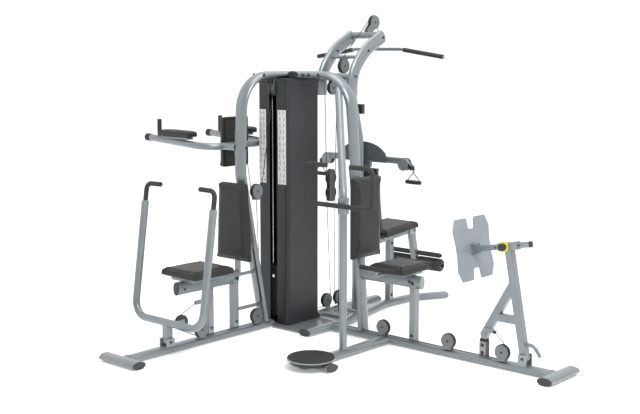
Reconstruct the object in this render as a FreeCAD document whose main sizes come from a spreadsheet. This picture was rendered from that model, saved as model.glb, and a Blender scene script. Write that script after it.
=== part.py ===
import FreeCAD
import Part
import Sketcher
import math
import os
from FreeCAD import Placement, Rotation, Vector

# Multi station home gym. Millimetres, +Z up, origin on the floor under the centre of the weight tower.
# The chest press station faces -Y, the leg press +X, the knee raise -X and the pulldown +Y.

DIMENSIONS = (
    ("frame_wide", 100), ("frame_thick", 50), ("square_side", 50), ("round_tube_radius", 25),
    ("seat_beam_tall", 90), ("cap_length", 8),
    ("tower_wide", 290), ("tower_deep", 336), ("tower_top", 1786), ("cover_wall", 3), ("cover_corner", 24),
    ("slot_from", -30), ("slot_to", 40), ("plate_thick", 12),
    ("arch_top", 1812), ("front_leg_reach", 490), ("side_leg_reach", 640),
    ("front_base_end", -1505), ("side_base_end", 2190), ("foot_half", 165),
    ("rail_offset", 400), ("twister_beam_offset", 930), ("twister_centre", -800), ("rear_beam_offset", 100),
    ("stack_offset", 75), ("stack_wide", 250), ("stack_deep", 110), ("weight_thick", 25), ("weight_gap", 1),
    ("resting_weights", 11), ("lifted_weights", 3), ("rod_radius", 10), ("rod_offset", 90),
    ("stack_foot", 62), ("rod_hole_radius", 12), ("stem_radius", 12), ("pin_radius", 4.5),
    ("front_seat_top", 535), ("side_seat_top", 565), ("rear_seat_top", 655), ("seat_pad_thick", 50),
    ("back_pad_thick", 55), ("pad_round", 14),
    ("press_half_width", 337), ("press_pivot_along", -1180), ("press_pivot_up", 76),
    ("grip_radius", 16), ("thin_bar_radius", 12),
    ("leg_press_pivot_along", 2004), ("leg_press_pivot_up", 92), ("sleeve_side", 44), ("plate_bar_side", 36),
    ("foot_plate_wide", 400), ("foot_plate_tall", 396), ("foot_plate_thick", 8),
    ("station_offset", 265), ("boom_half_gap", 145), ("roller_radius", 52),
    ("wheel_radius", 52), ("wheel_wide", 20), ("groove_depth", 6), ("axle_radius", 6), ("bracket_thick", 4),
    ("cheek_radius", 49),
    ("cable_radius", 2.5), ("disc_radius", 155), ("disc_thick", 22), ("disc_foot", 54),
    ("bolt_head_radius", 9), ("bolt_head_thick", 6), ("foot_corner", 18), ("arm_pad_thick", 46),
    ("arm_pad_round", 12),
)

doc = FreeCAD.newDocument("home_gym")
sheet = doc.addObject("Spreadsheet::Sheet", "dims")
for row, (alias, value) in enumerate(DIMENSIONS, start=1):
    sheet.set("A%d" % row, alias)
    sheet.set("B%d" % row, str(value))
    sheet.setAlias("B%d" % row, alias)
doc.recompute()
D = {alias: float(sheet.get(alias)) for alias, value in DIMENSIONS}

AXIS_X = Vector(1, 0, 0)
AXIS_Y = Vector(0, 1, 0)
AXIS_Z = Vector(0, 0, 1)
nodes = []


# ---- helpers -------------------------------------------------------------------------------------

def keep(shape_object, label):
    """Mark a document object as a sub-part that is exported under its label."""
    shape_object.Label = label
    nodes.append(shape_object)
    return shape_object


def turn_to(direction, side=None):
    """Rotation that takes +Z to direction, and +X as near to side as it can go."""
    up = Vector(direction).normalize()
    if side is None:
        side = AXIS_X if abs(up.x) < 0.9 else AXIS_Y
    return Rotation(Vector(side), Vector(), up, "ZXY")


def spot(point, direction=AXIS_Z, side=None):
    return Placement(Vector(point), turn_to(direction, side))


def cylinder(name, point, direction, radius, length):
    """Round bar from point along direction; radius and length are sheet names or plain numbers."""
    bar = doc.addObject("Part::Cylinder", name)
    for prop, value in (("Radius", radius), ("Height", length)):
        if isinstance(value, str):
            bar.setExpression(prop, "dims." + value)
        else:
            setattr(bar, prop, value)
    bar.Placement = spot(point, direction)
    return bar


def rod(name, start, end, radius):
    start, end = Vector(start), Vector(end)
    return cylinder(name, start, end - start, radius, (end - start).Length)


def box(name, low, high):
    """Plain block between two corners."""
    low, high = Vector(low), Vector(high)
    block = doc.addObject("Part::Box", name)
    block.Length = high.x - low.x
    block.Width = high.y - low.y
    block.Height = high.z - low.z
    block.Placement = Placement(low, Rotation())
    return block


def rounded(name, base, radius, only=None):
    """Fillet every edge of base, or those that run along one direction."""
    doc.recompute()
    round_off = doc.addObject("Part::Fillet", name)
    round_off.Base = base
    picked = []
    for number, edge in enumerate(base.Shape.Edges, start=1):
        along = edge.tangentAt(edge.FirstParameter)
        if only is None or abs(along.dot(only)) > 0.999:
            picked.append((number, radius, radius))
    round_off.Edges = picked
    return round_off


def square_tube(name, start, end, side="square_side", deep=None, across=None):
    """Rounded rectangular bar between two points; deep and side are sheet names."""
    start, end = Vector(start), Vector(end)
    deep = deep or side
    bar = doc.addObject("Part::Box", name + "_bar")
    bar.setExpression("Length", "dims." + side)
    bar.setExpression("Width", "dims." + deep)
    bar.Height = (end - start).Length
    facing = turn_to(end - start, across)
    corner = facing.multVec(Vector(-D[side] / 2, -D[deep] / 2, 0))
    bar.Placement = Placement(start + corner, facing)
    return rounded(name, bar, 6, end - start)


def path_wire(points, bend):
    """Straight runs joined by tangent arcs; bend is one radius or one for each inner point."""
    points = [Vector(point) for point in points]
    bends = bend if isinstance(bend, (list, tuple)) else [bend] * (len(points) - 2)
    edges = []
    last = points[0]
    for corner, before, after, radius in zip(points[1:-1], points, points[2:], bends):
        back = (before - corner).normalize()
        ahead = (after - corner).normalize()
        half = back.getAngle(ahead) / 2
        reach = radius / math.tan(half)
        middle = (back + ahead).normalize() * (radius / math.sin(half) - radius)
        start, end = corner + back * reach, corner + ahead * reach
        if (start - last).Length > 1e-6:
            edges.append(Part.LineSegment(last, start).toShape())
        edges.append(Part.Arc(start, corner + middle, end).toShape())
        last = end
    edges.append(Part.LineSegment(last, points[-1]).toShape())
    return Part.Wire(edges)


def sweep(name, points, bend, wide, thick=None, side=None):
    """Bent tube along points. wide lies along side; a round tube has no thick."""
    path = doc.addObject("Part::Feature", name + "_path")
    path.Shape = path_wire(points, bend)
    if thick is None:
        profile = doc.addObject("Part::Circle", name + "_profile")
        profile.setExpression("Radius", "dims." + wide)
    else:
        profile = doc.addObject("Part::Ellipse", name + "_profile")
        profile.setExpression("MajorRadius", "dims.%s / 2" % wide)
        profile.setExpression("MinorRadius", "dims.%s / 2" % thick)
    ahead = Vector(points[1]) - Vector(points[0])
    profile.Placement = spot(points[0], ahead, side)
    doc.recompute()
    tube = doc.addObject("Part::Sweep", name)
    tube.Sections = [profile]
    tube.Spine = (path, ["Edge%d" % number for number in range(1, len(path.Shape.Edges) + 1)])
    tube.Solid = True
    tube.Frenet = False
    return tube


def oval(name, points, bend, side):
    return sweep(name, points, bend, "frame_wide", "frame_thick", side)


def fuse(name, parts):
    joined = doc.addObject("Part::MultiFuse", name)
    joined.Shapes = parts
    return joined


def cut(name, base, tool):
    difference = doc.addObject("Part::Cut", name)
    difference.Base = base
    difference.Tool = tool
    return difference


def group(name, parts):
    """Several separate solids that share one node."""
    together = doc.addObject("Part::Compound", name)
    together.Links = parts
    return together


def pad_body(label, outline, thick, place, round_edge="pad_round", all_round=True):
    """A closed outline in its own XY plane, padded by thick and rounded all over or at its corners."""
    body = doc.addObject("PartDesign::Body", label)
    sketch = body.newObject("Sketcher::SketchObject", label + "_outline")
    plane = next(item for item in body.Origin.OriginFeatures if item.Role == "XY_Plane")
    sketch.AttachmentSupport = [(plane, "")]
    sketch.MapMode = "FlatFace"
    corners = [Vector(x, y, 0) for x, y in outline]
    count = len(corners)
    for start, end in zip(corners, corners[1:] + corners[:1]):
        sketch.addGeometry(Part.LineSegment(start, end), False)
    for line in range(count):
        sketch.addConstraint(Sketcher.Constraint("Coincident", line, 2, (line + 1) % count, 1))
    for line, (x, y) in enumerate(outline):
        sketch.addConstraint(Sketcher.Constraint("DistanceX", -1, 1, line, 1, x))
        sketch.addConstraint(Sketcher.Constraint("DistanceY", -1, 1, line, 1, y))
    pad = body.newObject("PartDesign::Pad", label + "_pad")
    pad.Profile = sketch
    pad.setExpression("Length", "dims." + thick)
    sketch.Visibility = False
    doc.recompute()
    edges = []
    for number, edge in enumerate(pad.Shape.Edges, start=1):
        if all_round or abs(edge.tangentAt(edge.FirstParameter).z) > 0.999:
            edges.append("Edge%d" % number)
    soft_edge = body.newObject("PartDesign::Fillet", label + "_rounding")
    soft_edge.Base = (pad, edges)
    soft_edge.setExpression("Radius", "dims." + round_edge)
    body.Tip = soft_edge
    body.Placement = place
    return body


def slab(half_wide, long_low, long_high):
    """Rectangle outline, half_wide each side of the long axis."""
    return [(-half_wide, long_low), (half_wide, long_low), (half_wide, long_high), (-half_wide, long_high)]


def wheel(name, centre, axis):
    """Grooved pulley wheel with a bore that runs on its axle."""
    centre, axis = Vector(centre), Vector(axis)
    start = centre - axis * D["wheel_wide"] / 2
    disc = cylinder(name + "_disc", start, axis, "wheel_radius", "wheel_wide")
    groove = doc.addObject("Part::Torus", name + "_groove")
    groove.setExpression("Radius1", "dims.wheel_radius")
    groove.setExpression("Radius2", "dims.groove_depth")
    groove.Placement = spot(centre, axis)
    bore = cylinder(name + "_bore", start - axis, axis, "axle_radius", "wheel_wide")
    bore.setExpression("Radius", "dims.axle_radius + 0.05")
    bore.setExpression("Height", "dims.wheel_wide + 2")
    return cut(name + "_wheel", cut(name + "_grooved", disc, groove), bore)


def bracket(name, centre, axis, toward, reach):
    """Two side plates and the axle of a pulley; the plates reach from the axle towards their base."""
    centre, axis, toward = Vector(centre), Vector(axis), Vector(toward).normalize()
    inner = D["wheel_wide"] / 2 + 2
    along = axis.cross(toward)
    parts = []
    for number, sign in enumerate((-1, 1)):
        face = centre + axis * sign * (inner + D["bracket_thick"] / 2)
        disc_start = face - axis * D["bracket_thick"] / 2
        disc = cylinder("%s_disc_%d" % (name, number), disc_start, axis, "cheek_radius", "bracket_thick")
        plate = doc.addObject("Part::Box", "%s_plate_%d" % (name, number))
        plate.Length = 56
        plate.setExpression("Width", "dims.bracket_thick")
        plate.Height = reach
        facing = Rotation(along, Vector(), toward, "ZXY")
        corner = facing.multVec(Vector(-28, -D["bracket_thick"] / 2, 0))
        plate.Placement = Placement(face + corner, facing)
        parts += [disc, rounded("%s_cheek_%d" % (name, number), plate, 6, axis)]
    pin_start = centre - axis * (inner + D["bracket_thick"] + 4)
    parts.append(rod(name + "_axle", pin_start, centre * 2 - pin_start, "axle_radius"))
    return fuse(name, parts)


def bolt(name, point, direction):
    """Hexagon bolt head standing on a surface."""
    head = doc.addObject("Part::Prism", name)
    head.Polygon = 6
    head.setExpression("Circumradius", "dims.bolt_head_radius")
    head.setExpression("Height", "dims.bolt_head_thick")
    head.Placement = spot(point, direction)
    return head


def cable(name, stops, lift):
    """Cable in one plane: stops are (u, v) ends or (u, v, turn) wheels; lift puts (u, v) in space."""
    run_radius = D["wheel_radius"] - D["groove_depth"] + D["cable_radius"] + 0.4
    circles = [(stop[0], stop[1], stop[2] * run_radius if len(stop) == 3 else 0) for stop in stops]
    headings = []
    for (u1, v1, r1), (u2, v2, r2) in zip(circles, circles[1:]):
        gap = math.hypot(u2 - u1, v2 - v1)
        headings.append(math.atan2(v2 - v1, u2 - u1) - math.asin((r2 - r1) / gap))

    def touch(circle, heading):
        u, v, r = circle
        return lift(u + r * math.sin(heading), v - r * math.cos(heading))

    edges = []
    for number, heading in enumerate(headings):
        edges.append(Part.LineSegment(touch(circles[number], heading),
                                      touch(circles[number + 1], heading)).toShape())
        if number + 1 < len(headings):
            circle = circles[number + 1]
            turned = headings[number + 1] - heading
            whole = 2 * math.pi
            turned = turned % whole if circle[2] > 0 else -((-turned) % whole)
            if min(abs(turned), whole - abs(turned)) < 1e-4:
                continue
            edges.append(Part.Arc(touch(circle, heading), touch(circle, heading + turned / 2),
                                  touch(circle, heading + turned)).toShape())
    path = doc.addObject("Part::Feature", name + "_path")
    path.Shape = Part.Wire(edges)
    profile = doc.addObject("Part::Circle", name + "_profile")
    profile.setExpression("Radius", "dims.cable_radius")
    profile.Placement = spot(edges[0].firstVertex().Point, edges[0].tangentAt(edges[0].FirstParameter))
    run = doc.addObject("Part::Sweep", name)
    run.Sections = [profile]
    run.Spine = (path, ["Edge%d" % number for number in range(1, len(edges) + 1)])
    run.Solid = True
    return run


# ---- base frame ----------------------------------------------------------------------------------

floor_line = D["frame_thick"] / 2
beam_top = D["frame_thick"]
foot_half = D["foot_half"]
end_caps = []


def end_cap(name, point, direction, side):
    """Oval plastic plug on a tube end; side is the direction of the tube's wide axis."""
    rim = doc.addObject("Part::Ellipse", name + "_rim")
    rim.setExpression("MajorRadius", "dims.frame_wide / 2")
    rim.setExpression("MinorRadius", "dims.frame_thick / 2")
    rim.Placement = spot(point, direction, side)
    plug = doc.addObject("Part::Extrusion", name)
    plug.Base = rim
    plug.DirMode = "Custom"
    plug.Dir = Vector(direction)
    plug.setExpression("LengthFwd", "dims.cap_length")
    plug.Solid = True
    end_caps.append(plug)


def base_frame(label, beam_start, beam_end, foot_centre, along, across):
    """Straight oval beam on the floor with an oval cross foot and capped foot ends."""
    beam = oval(label + "_beam", [beam_start, beam_end], 0, across)
    foot_centre, across = Vector(foot_centre), Vector(across)
    foot_ends = [foot_centre - across * foot_half, foot_centre + across * foot_half]
    foot = oval(label + "_foot", foot_ends, 0, along)
    for number, sign in enumerate((-1, 1)):
        end_cap("%s_cap_%d" % (label, number), foot_centre + across * sign * foot_half, across * sign, along)
    return keep(fuse(label, [beam, foot]), label)


front_foot = D["front_base_end"] - D["frame_wide"] / 2
side_foot = D["side_base_end"] + D["frame_wide"] / 2
tower_half_x = D["tower_wide"] / 2
tower_half_y = D["tower_deep"] / 2
front_beam_start = -tower_half_y - 40
base_frame("base_frame_front", (0, front_beam_start, floor_line), (0, front_foot, floor_line),
           (0, front_foot, floor_line), AXIS_Y, AXIS_X)
rail_x = D["rail_offset"]
side_beam_start = rail_x + D["frame_wide"] / 2
base_frame("base_frame_side", (side_beam_start, 0, floor_line), (side_foot, 0, floor_line),
           (side_foot, 0, floor_line), AXIS_X, AXIS_Y)
twister_x = D["twister_beam_offset"]
twister_y = D["twister_centre"]
base_frame("base_frame_twister", (twister_x, -D["frame_wide"] / 2, floor_line),
           (twister_x, twister_y - 70, floor_line), (twister_x + 10, twister_y + 10, floor_line),
           AXIS_Y, AXIS_X)

rail_points = [(rail_x, -268, floor_line), (rail_x, 150, floor_line), (262, 800, floor_line),
               (285, 1110, floor_line), (430, 1385, floor_line)]
keep(oval("side_rail", rail_points, [500, 500, 300], AXIS_X), "base_rail_side")
end_cap("side_rail_cap", rail_points[0], -AXIS_Y, AXIS_X)
end_cap("side_rail_end", rail_points[-1], (Vector(rail_points[-1]) - Vector(rail_points[-2])).normalize(),
        AXIS_X)

rear_x = D["rear_beam_offset"]
rear_beam = oval("rear_beam", [(rear_x, tower_half_y + 8, floor_line), (rear_x, 900, floor_line)], 0, AXIS_X)
end_cap("rear_beam_cap", (rear_x, 900, floor_line), AXIS_Y, AXIS_X)
tie_low = oval("rear_tie_near", [(rear_x, 258, floor_line), (332, 258, floor_line)], 0, AXIS_Y)
tie_high = oval("rear_tie_far", [(rear_x, 470, floor_line), (300, 470, floor_line)], 0, AXIS_Y)
keep(fuse("rear_beam_frame", [rear_beam, tie_low, tie_high]), "base_beam_rear")

plate_thick = D["plate_thick"]
tray = box("tray", (-160, front_beam_start, 0), (348, tower_half_y, plate_thick))
tray_lip = box("tray_lip", (56, -242, 0), (348, front_beam_start, plate_thick))
keep(fuse("tray_plate", [tray, tray_lip]), "tower_base_plate")

# ---- arches, posts and booms ---------------------------------------------------------------------

arch_top = D["arch_top"]
lean_foot = -272
front_reach = -D["front_leg_reach"]
front_arch = oval("front_arch", [(0, lean_foot, beam_top - 1), (0, front_reach, 1130),
                                 (0, front_reach + 22, arch_top), (0, -D["frame_wide"] / 2, arch_top)],
                  [300, 250], AXIS_X)
cable_slot = box("front_cable_slot", (20, -440, 195), (36, -270, 600))
keep(cut("front_arch_slotted", front_arch, cable_slot), "arch_front")
side_reach = D["side_leg_reach"]
side_arch_points = [(-50, 0, arch_top), (side_reach - 68, 0, arch_top), (side_reach - 14, 0, 1234),
                    (side_reach + 68, 0, beam_top - 1)]
side_arch = oval("side_arch_tube", side_arch_points, [250, 600], AXIS_Y)
cable_hole = rod("side_cable_hole", (600, -28, beam_top + 8), (800, -28, beam_top + 8), 7)
keep(cut("side_arch", side_arch, cable_hole), "arch_side")
end_cap("side_arch_cap", (-50, 0, arch_top), -AXIS_X, AXIS_Y)
top_beam = oval("top_beam", [(120, -78, arch_top), (120, 192, arch_top)], 0, AXIS_X)
end_cap("top_beam_cap", (120, -78, arch_top), -AXIS_Y, AXIS_X)

station_x = D["station_offset"]
upright_y = 470
upright = oval("upright", [(station_x, upright_y, beam_top - 1), (station_x, upright_y, 1320),
                           (station_x, 345, 1790)], 500, AXIS_X)
upright_block = box("upright_block", (station_x - 30, 452, 1520), (station_x + 52, 480, 1590))
keep(upright, "rear_upright")

boom_parts = [top_beam]
for side, offset in (("left", -D["boom_half_gap"]), ("right", D["boom_half_gap"])):
    x = station_x + offset
    boom_points = [(x, 224, 1660), (x, 232, 1830), (x, 372, 1985), (x, 566, 2086)]
    boom_parts.append(oval("boom_" + side, boom_points, [250, 400], AXIS_Y))
boom_low, boom_high = station_x - D["boom_half_gap"], station_x + D["boom_half_gap"]
boom_parts.append(rod("boom_root_bar", (50, 200, 1795), (boom_high, 200, 1795), "round_tube_radius"))
boom_parts.append(rod("boom_top_bar", (boom_low, 556, 2092), (boom_high, 556, 2092), "round_tube_radius"))
boom_parts.append(rod("boom_pulley_bar", (boom_low, 318, 1935), (boom_high, 318, 1935), "thin_bar_radius"))
for number, x in enumerate((station_x - 56, station_x + 52)):
    boom_parts.append(box("upright_link_%d" % number, (x, 195, 1765), (x + 4, 372, 1815)))
boom_parts.append(box("hanger_bar", (60, 215, 1768), (90, 440, 1788)))
keep(fuse("boom_frame", boom_parts), "pulldown_boom")

collar = rod("twister_collar", (twister_x, -480, 945), (twister_x, -480, 1045), 37)
post_points = [(twister_x, -480, beam_top - 1), (twister_x, -480, 1060), (500, -30, 1720)]
post = sweep("twister_post_tube", post_points, 160, "round_tube_radius")
keep(fuse("twister_post_welded", [post, collar]), "twister_post")

# ---- weight tower --------------------------------------------------------------------------------

wall = D["cover_wall"]
tower_top = D["tower_top"]
cover_foot = plate_thick + 1
outer = rounded("tower_outer", box("tower_block", (-tower_half_x, -tower_half_y, cover_foot),
                                   (tower_half_x, tower_half_y, tower_top)), D["cover_corner"], AXIS_Z)
inner = rounded("tower_inner", box("tower_core", (wall - tower_half_x, wall - tower_half_y, cover_foot - 5),
                                   (tower_half_x - wall, tower_half_y - wall, tower_top - wall)),
                D["cover_corner"] - wall, AXIS_Z)
shell = cut("tower_shell", outer, inner)
reach = tower_half_x + 10
left_half = box("left_half", (-reach, -reach * 2, 0), (D["slot_from"], reach * 2, tower_top + 10))
right_half = box("right_half", (D["slot_to"], -reach * 2, 0), (reach, reach * 2, tower_top + 10))
for side, half in (("left", left_half), ("right", right_half)):
    cover = doc.addObject("Part::Common", "cover_" + side)
    cover.Base = shell
    cover.Tool = half
    keep(cover, "tower_cover_" + side)

stack_y = D["stack_offset"]
rod_x = D["rod_offset"]
rods = []
for y in (-stack_y, stack_y):
    for x in (-rod_x, rod_x):
        rods.append(rod("guide_rod_%d_%d" % (x, y), (x, y, plate_thick + 0.5), (x, y, tower_top - wall - 0.5),
                        "rod_radius"))
keep(group("rods", rods), "guide_rods")

pitch = D["weight_thick"] + D["weight_gap"]


def weight_stack(name, y, first, count, pin_side):
    """Stack of drilled plates as separate solids; pin_side drills the selector hole from -Y or +Y."""
    plates = []
    half_x, half_y = D["stack_wide"] / 2, D["stack_deep"] / 2
    for level in range(first, first + count):
        low = D["stack_foot"] + level * pitch
        plate = Part.makeBox(half_x * 2, half_y * 2, D["weight_thick"], Vector(-half_x, y - half_y, low))
        for x in (-rod_x, rod_x):
            plate = plate.cut(Part.makeCylinder(D["rod_hole_radius"], 40, Vector(x, y, low - 5)))
        plate = plate.cut(Part.makeCylinder(D["stem_radius"] + 1, 40, Vector(0, y, low - 5)))
        hole_start = Vector(0, y + pin_side * (half_y + 2), low + D["weight_thick"] / 2)
        hole = Part.makeCylinder(D["pin_radius"] + 0.5, half_y + 2, hole_start, Vector(0, -pin_side, 0))
        plates.append(plate.cut(hole))
    stack = doc.addObject("Part::Feature", name)
    stack.Shape = Part.makeCompound(plates)
    return stack


resting = int(D["resting_weights"])
lifted = int(D["lifted_weights"])
foot_pads = []
for y in (-stack_y, stack_y):
    for x in (-rod_x, rod_x):
        tag = "%d_%d" % (x, y)
        ring = rod("foot_ring_" + tag, (x, y, plate_thick + 0.5), (x, y, D["stack_foot"] - 0.5), 24)
        hole = rod("foot_hole_" + tag, (x, y, 0), (x, y, 90), "rod_hole_radius")
        foot_pads.append(cut("stack_foot_" + tag, ring, hole))
resting_stacks = [weight_stack("resting_stack_front", -stack_y, 0, resting, -1),
                  weight_stack("resting_stack_rear", stack_y, 0, resting, 1)]
keep(group("resting_weights_all", resting_stacks + foot_pads), "weight_plates")
lift_low = D["stack_foot"] + resting * pitch
lift_top = lift_low + lifted * pitch
for name, y, pin_side in (("front", -stack_y, -1), ("rear", stack_y, 1)):
    plates = weight_stack(name + "_lifted_plates", y, resting, lifted, pin_side)
    stem = rod(name + "_stem", (0, y, D["stack_foot"] + 10), (0, y, lift_top + 45), "stem_radius")
    stem_hole = rod(name + "_stem_hole", (0, y + pin_side * 20, lift_low + 12.5),
                    (0, y - pin_side * 20, lift_low + 12.5), 5)
    cap = rod(name + "_stem_cap", (0, y, lift_top + 0.5), (0, y, lift_top + 12), 24)
    drilled = cut(name + "_stem_drilled", fuse(name + "_stem_capped", [stem, cap]), stem_hole)
    keep(group(name + "_lift_group", [plates, drilled]), name + "_stack_lift")
    knob_y = y + pin_side * 70
    pin_z = lift_low + 12.5
    pin = rod(name + "_pin_rod", (0, knob_y, pin_z), (0, y - pin_side * 6, pin_z), "pin_radius")
    knob = rod(name + "_pin_knob", (0, knob_y + pin_side * 22, pin_z), (0, knob_y, pin_z), 11)
    keep(fuse(name + "_pin", [pin, knob]), name + "_selector_pin")

# ---- chest press station, facing -Y --------------------------------------------------------------

seat_thick = D["seat_pad_thick"]
back_thick = D["back_pad_thick"]
beam_half = D["seat_beam_tall"] / 2


def seat_beam(name, start, end, across):
    """Upright oval beam under a seat."""
    return sweep(name, [start, end], 0, "seat_beam_tall", "square_side", across)


def seat_beam_cap(name, point, direction):
    """Oval plastic plug on the free end of a seat beam."""
    end = Vector(point) + Vector(direction) * D["cap_length"]
    return sweep(name, [point, end], 0, "seat_beam_tall", "square_side", AXIS_Z)


seat_under = D["front_seat_top"] - seat_thick
beam_line = seat_under - 24 - beam_half
front_posts = []
for number, y in enumerate((-805, -567)):
    front_posts.append(square_tube("front_post_%d" % number, (0, y, beam_top - 4), (0, y, beam_line - 20),
                                   across=AXIS_X))
front_posts.append(seat_beam("front_seat_beam", (0, -1090, beam_line), (0, -535, beam_line), AXIS_Z))
front_posts.append(box("front_seat_plate", (-110, -1040, beam_line + beam_half - 3),
                       (110, -760, seat_under - 1)))
front_posts.append(box("front_pad_carrier", (-20, -536, beam_line), (20, -516, 1010)))
front_posts.append(rod("front_tie_high", (0, -520, 425), (0, -345, 425), "thin_bar_radius"))
front_posts.append(rod("front_tie_low", (0, -545, 180), (0, -305, 180), "thin_bar_radius"))
front_posts.append(box("front_cable_arm", (14, -950, 288), (34, -825, 314)))
front_posts.append(box("press_ear_left", (-36, -1215, beam_top - 6), (-30, -1145, 100)))
front_posts.append(box("press_ear_right", (30, -1215, beam_top - 6), (36, -1145, 100)))
keep(fuse("front_seat_welded", front_posts), "front_seat_frame")
keep(pad_body("front_seat_pad", slab(178, -1085, -715), "seat_pad_thick",
              Placement(Vector(0, 0, seat_under), Rotation())), "front_seat_pad")
front_back_outline = [(-165, 0), (165, 0), (134, 550), (-134, 550)]
keep(pad_body("front_back_pad", front_back_outline, "back_pad_thick",
              Placement(Vector(0, -538, 530), Rotation(AXIS_X, Vector(), -AXIS_Y, "XZY"))), "front_back_pad")

pivot_y = D["press_pivot_along"]
pivot_z = D["press_pivot_up"]
half_width = D["press_half_width"]
u_points = [(-half_width, -1062, 975), (-half_width, -1175, 202), (half_width, -1175, 202),
            (half_width, -1062, 975)]
press_parts = [sweep("press_u", u_points, 112, "round_tube_radius")]
press_parts.append(box("press_stub", (-22, -1200, pivot_z - 6), (22, -1152, 195)))
press_parts.append(rod("press_barrel", (-29, pivot_y, pivot_z), (29, pivot_y, pivot_z), 20))
press_parts.append(box("press_cheek_left", (12, -1150, 172), (16, -1062, 212)))
press_parts.append(box("press_cheek_right", (40, -1160, 172), (44, -1062, 212)))
press_parts.append(rod("press_pulley_axle", (12, -1080, 190), (48, -1080, 190), "axle_radius"))
press_parts.append(rod("press_cheek_bar", (-10, -1150, 192), (44, -1150, 192), 14))
press_arm = fuse("press_arm_welded", press_parts)
press_bore = rod("press_bore", (-40, pivot_y, pivot_z), (40, pivot_y, pivot_z), "axle_radius")
press_bore.setExpression("Radius", "dims.axle_radius + 0.05")
press_set = [cut("press_arm_bored", press_arm, press_bore), wheel("press", (28, -1080, 190), AXIS_X)]
keep(group("press_arm_set", press_set), "press_arm")
grips = []
for side in (-1, 1):
    x = side * half_width
    grip_points = [(x, -1061, 976.5), (x, -1044, 1092), (x - side * 142, -1044, 1094)]
    grips.append(sweep("press_grip_%d" % side, grip_points, 45, "grip_radius"))
keep(group("press_grip_pair", grips), "press_grips")

# ---- leg press station, facing +X ----------------------------------------------------------------

seat_under = D["side_seat_top"] - seat_thick
side_beam_line = seat_under - 16 - beam_half
side_parts = [square_tube("side_post", (1147, 0, beam_top - 4), (1147, 0, side_beam_line - 20),
                          across=AXIS_X)]
side_parts.append(seat_beam("side_seat_beam", (674, 0, side_beam_line), (1205, 0, side_beam_line), AXIS_Z))
side_parts.append(box("side_seat_plate", (900, -100, side_beam_line + beam_half - 3),
                      (1140, 100, seat_under - 1)))
side_parts.append(box("side_pad_carrier", (652, -20, side_beam_line), (698, 20, 1060)))
side_parts.append(rod("side_grip_rail", (980, -205, seat_under - 12), (980, 205, seat_under - 12),
                      "thin_bar_radius"))
for sign in (-1, 1):
    side_parts.append(rod("side_grip_post_%d" % sign, (980, sign * 195, seat_under - 18),
                          (980, sign * 195, seat_under + 12), "thin_bar_radius"))
keep(fuse("side_seat_welded", side_parts), "side_seat_frame")
end_caps.append(seat_beam_cap("front_seat_cap", (0, -1090, beam_line), -AXIS_Y))
end_caps.append(seat_beam_cap("side_seat_cap", (1205, 0, side_beam_line), AXIS_X))
keep(group("oval_caps", end_caps + [upright_block]), "tube_end_caps")
side_grips = []
for sign in (-1, 1):
    side_grips.append(rod("side_grip_%d" % sign, (840, sign * 195, seat_under + 28),
                          (1130, sign * 195, seat_under + 28), "grip_radius"))
keep(group("side_grip_pair", side_grips), "side_seat_grips")
keep(pad_body("side_seat_pad", [(878, -165), (1178, -165), (1178, 165), (878, 165)], "seat_pad_thick",
              Placement(Vector(0, 0, seat_under), Rotation())), "side_seat_pad")
keep(pad_body("side_back_pad", slab(152, 0, 570), "back_pad_thick",
              Placement(Vector(699, 0, 560), Rotation(AXIS_Y, Vector(), AXIS_X, "XZY"))), "side_back_pad")

leg_x = D["leg_press_pivot_along"]
leg_z = D["leg_press_pivot_up"]
post_top = Vector(leg_x - 133, 0, leg_z + 690)
post_foot = Vector(leg_x, 0, leg_z)
post_line = (post_top - post_foot).normalize()
sleeve_line = Vector(post_line.z, 0, -post_line.x)
leg_parts = [square_tube("leg_post", post_foot - post_line * 5, post_top, across=AXIS_Y)]
brace_foot = Vector(1706, 0, 186)
brace_top = post_foot + post_line * 470
leg_parts.append(square_tube("leg_brace", brace_foot, brace_top, across=AXIS_Y))
cross_up = 230
leg_parts.append(square_tube("leg_cross", Vector(leg_x - 215, 0, leg_z + cross_up),
                             Vector(leg_x - 45, 0, leg_z + cross_up), across=AXIS_Y))
leg_parts.append(rod("leg_barrel", (leg_x, -29, leg_z), (leg_x, 29, leg_z), 24))
leg_parts.append(sweep("leg_hook", [(leg_x - 14, 0, leg_z + 92), (leg_x + 62, 0, leg_z + 86),
                                    (leg_x + 108, 0, leg_z + 24)], 55, "thin_bar_radius"))
leg_parts.append(box("leg_anchor", (1726, -34, 218), (1794, -20, 246)))
leg_parts.append(box("leg_stop_pad", (1690, -20, 168), (1728, 20, 190)))
sleeve_centre = post_top
sleeve_start, sleeve_end = sleeve_centre - sleeve_line * 70, sleeve_centre + sleeve_line * 70
leg_parts.append(square_tube("leg_sleeve", sleeve_start, sleeve_end, side="frame_thick", across=AXIS_Y))
leg_frame = fuse("leg_frame", leg_parts)
bore_core = doc.addObject("Part::Box", "sleeve_bore")
bore_core.setExpression("Length", "dims.plate_bar_side + 0.8")
bore_core.setExpression("Width", "dims.plate_bar_side + 0.8")
bore_core.Height = 200
bore_turn = turn_to(sleeve_line, AXIS_Y)
half_bore = (D["plate_bar_side"] + 0.8) / 2
bore_core.Placement = Placement(sleeve_start - sleeve_line * 30
                                + bore_turn.multVec(Vector(-half_bore, -half_bore, 0)), bore_turn)
knob_point = sleeve_centre - sleeve_line * 22
knob_hole = rod("sleeve_knob_hole", knob_point + Vector(0, -60, 0), knob_point, "axle_radius")
knob_hole.setExpression("Radius", "dims.axle_radius + 0.05")
pivot_hole = rod("leg_pivot_hole", (leg_x, -60, leg_z), (leg_x, 60, leg_z), "axle_radius")
pivot_hole.setExpression("Radius", "dims.axle_radius + 0.05")
for number, tool in enumerate((bore_core, knob_hole, pivot_hole)):
    leg_frame = cut("leg_frame_cut_%d" % number, leg_frame, tool)
keep(leg_frame, "leg_press_arm")

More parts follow.
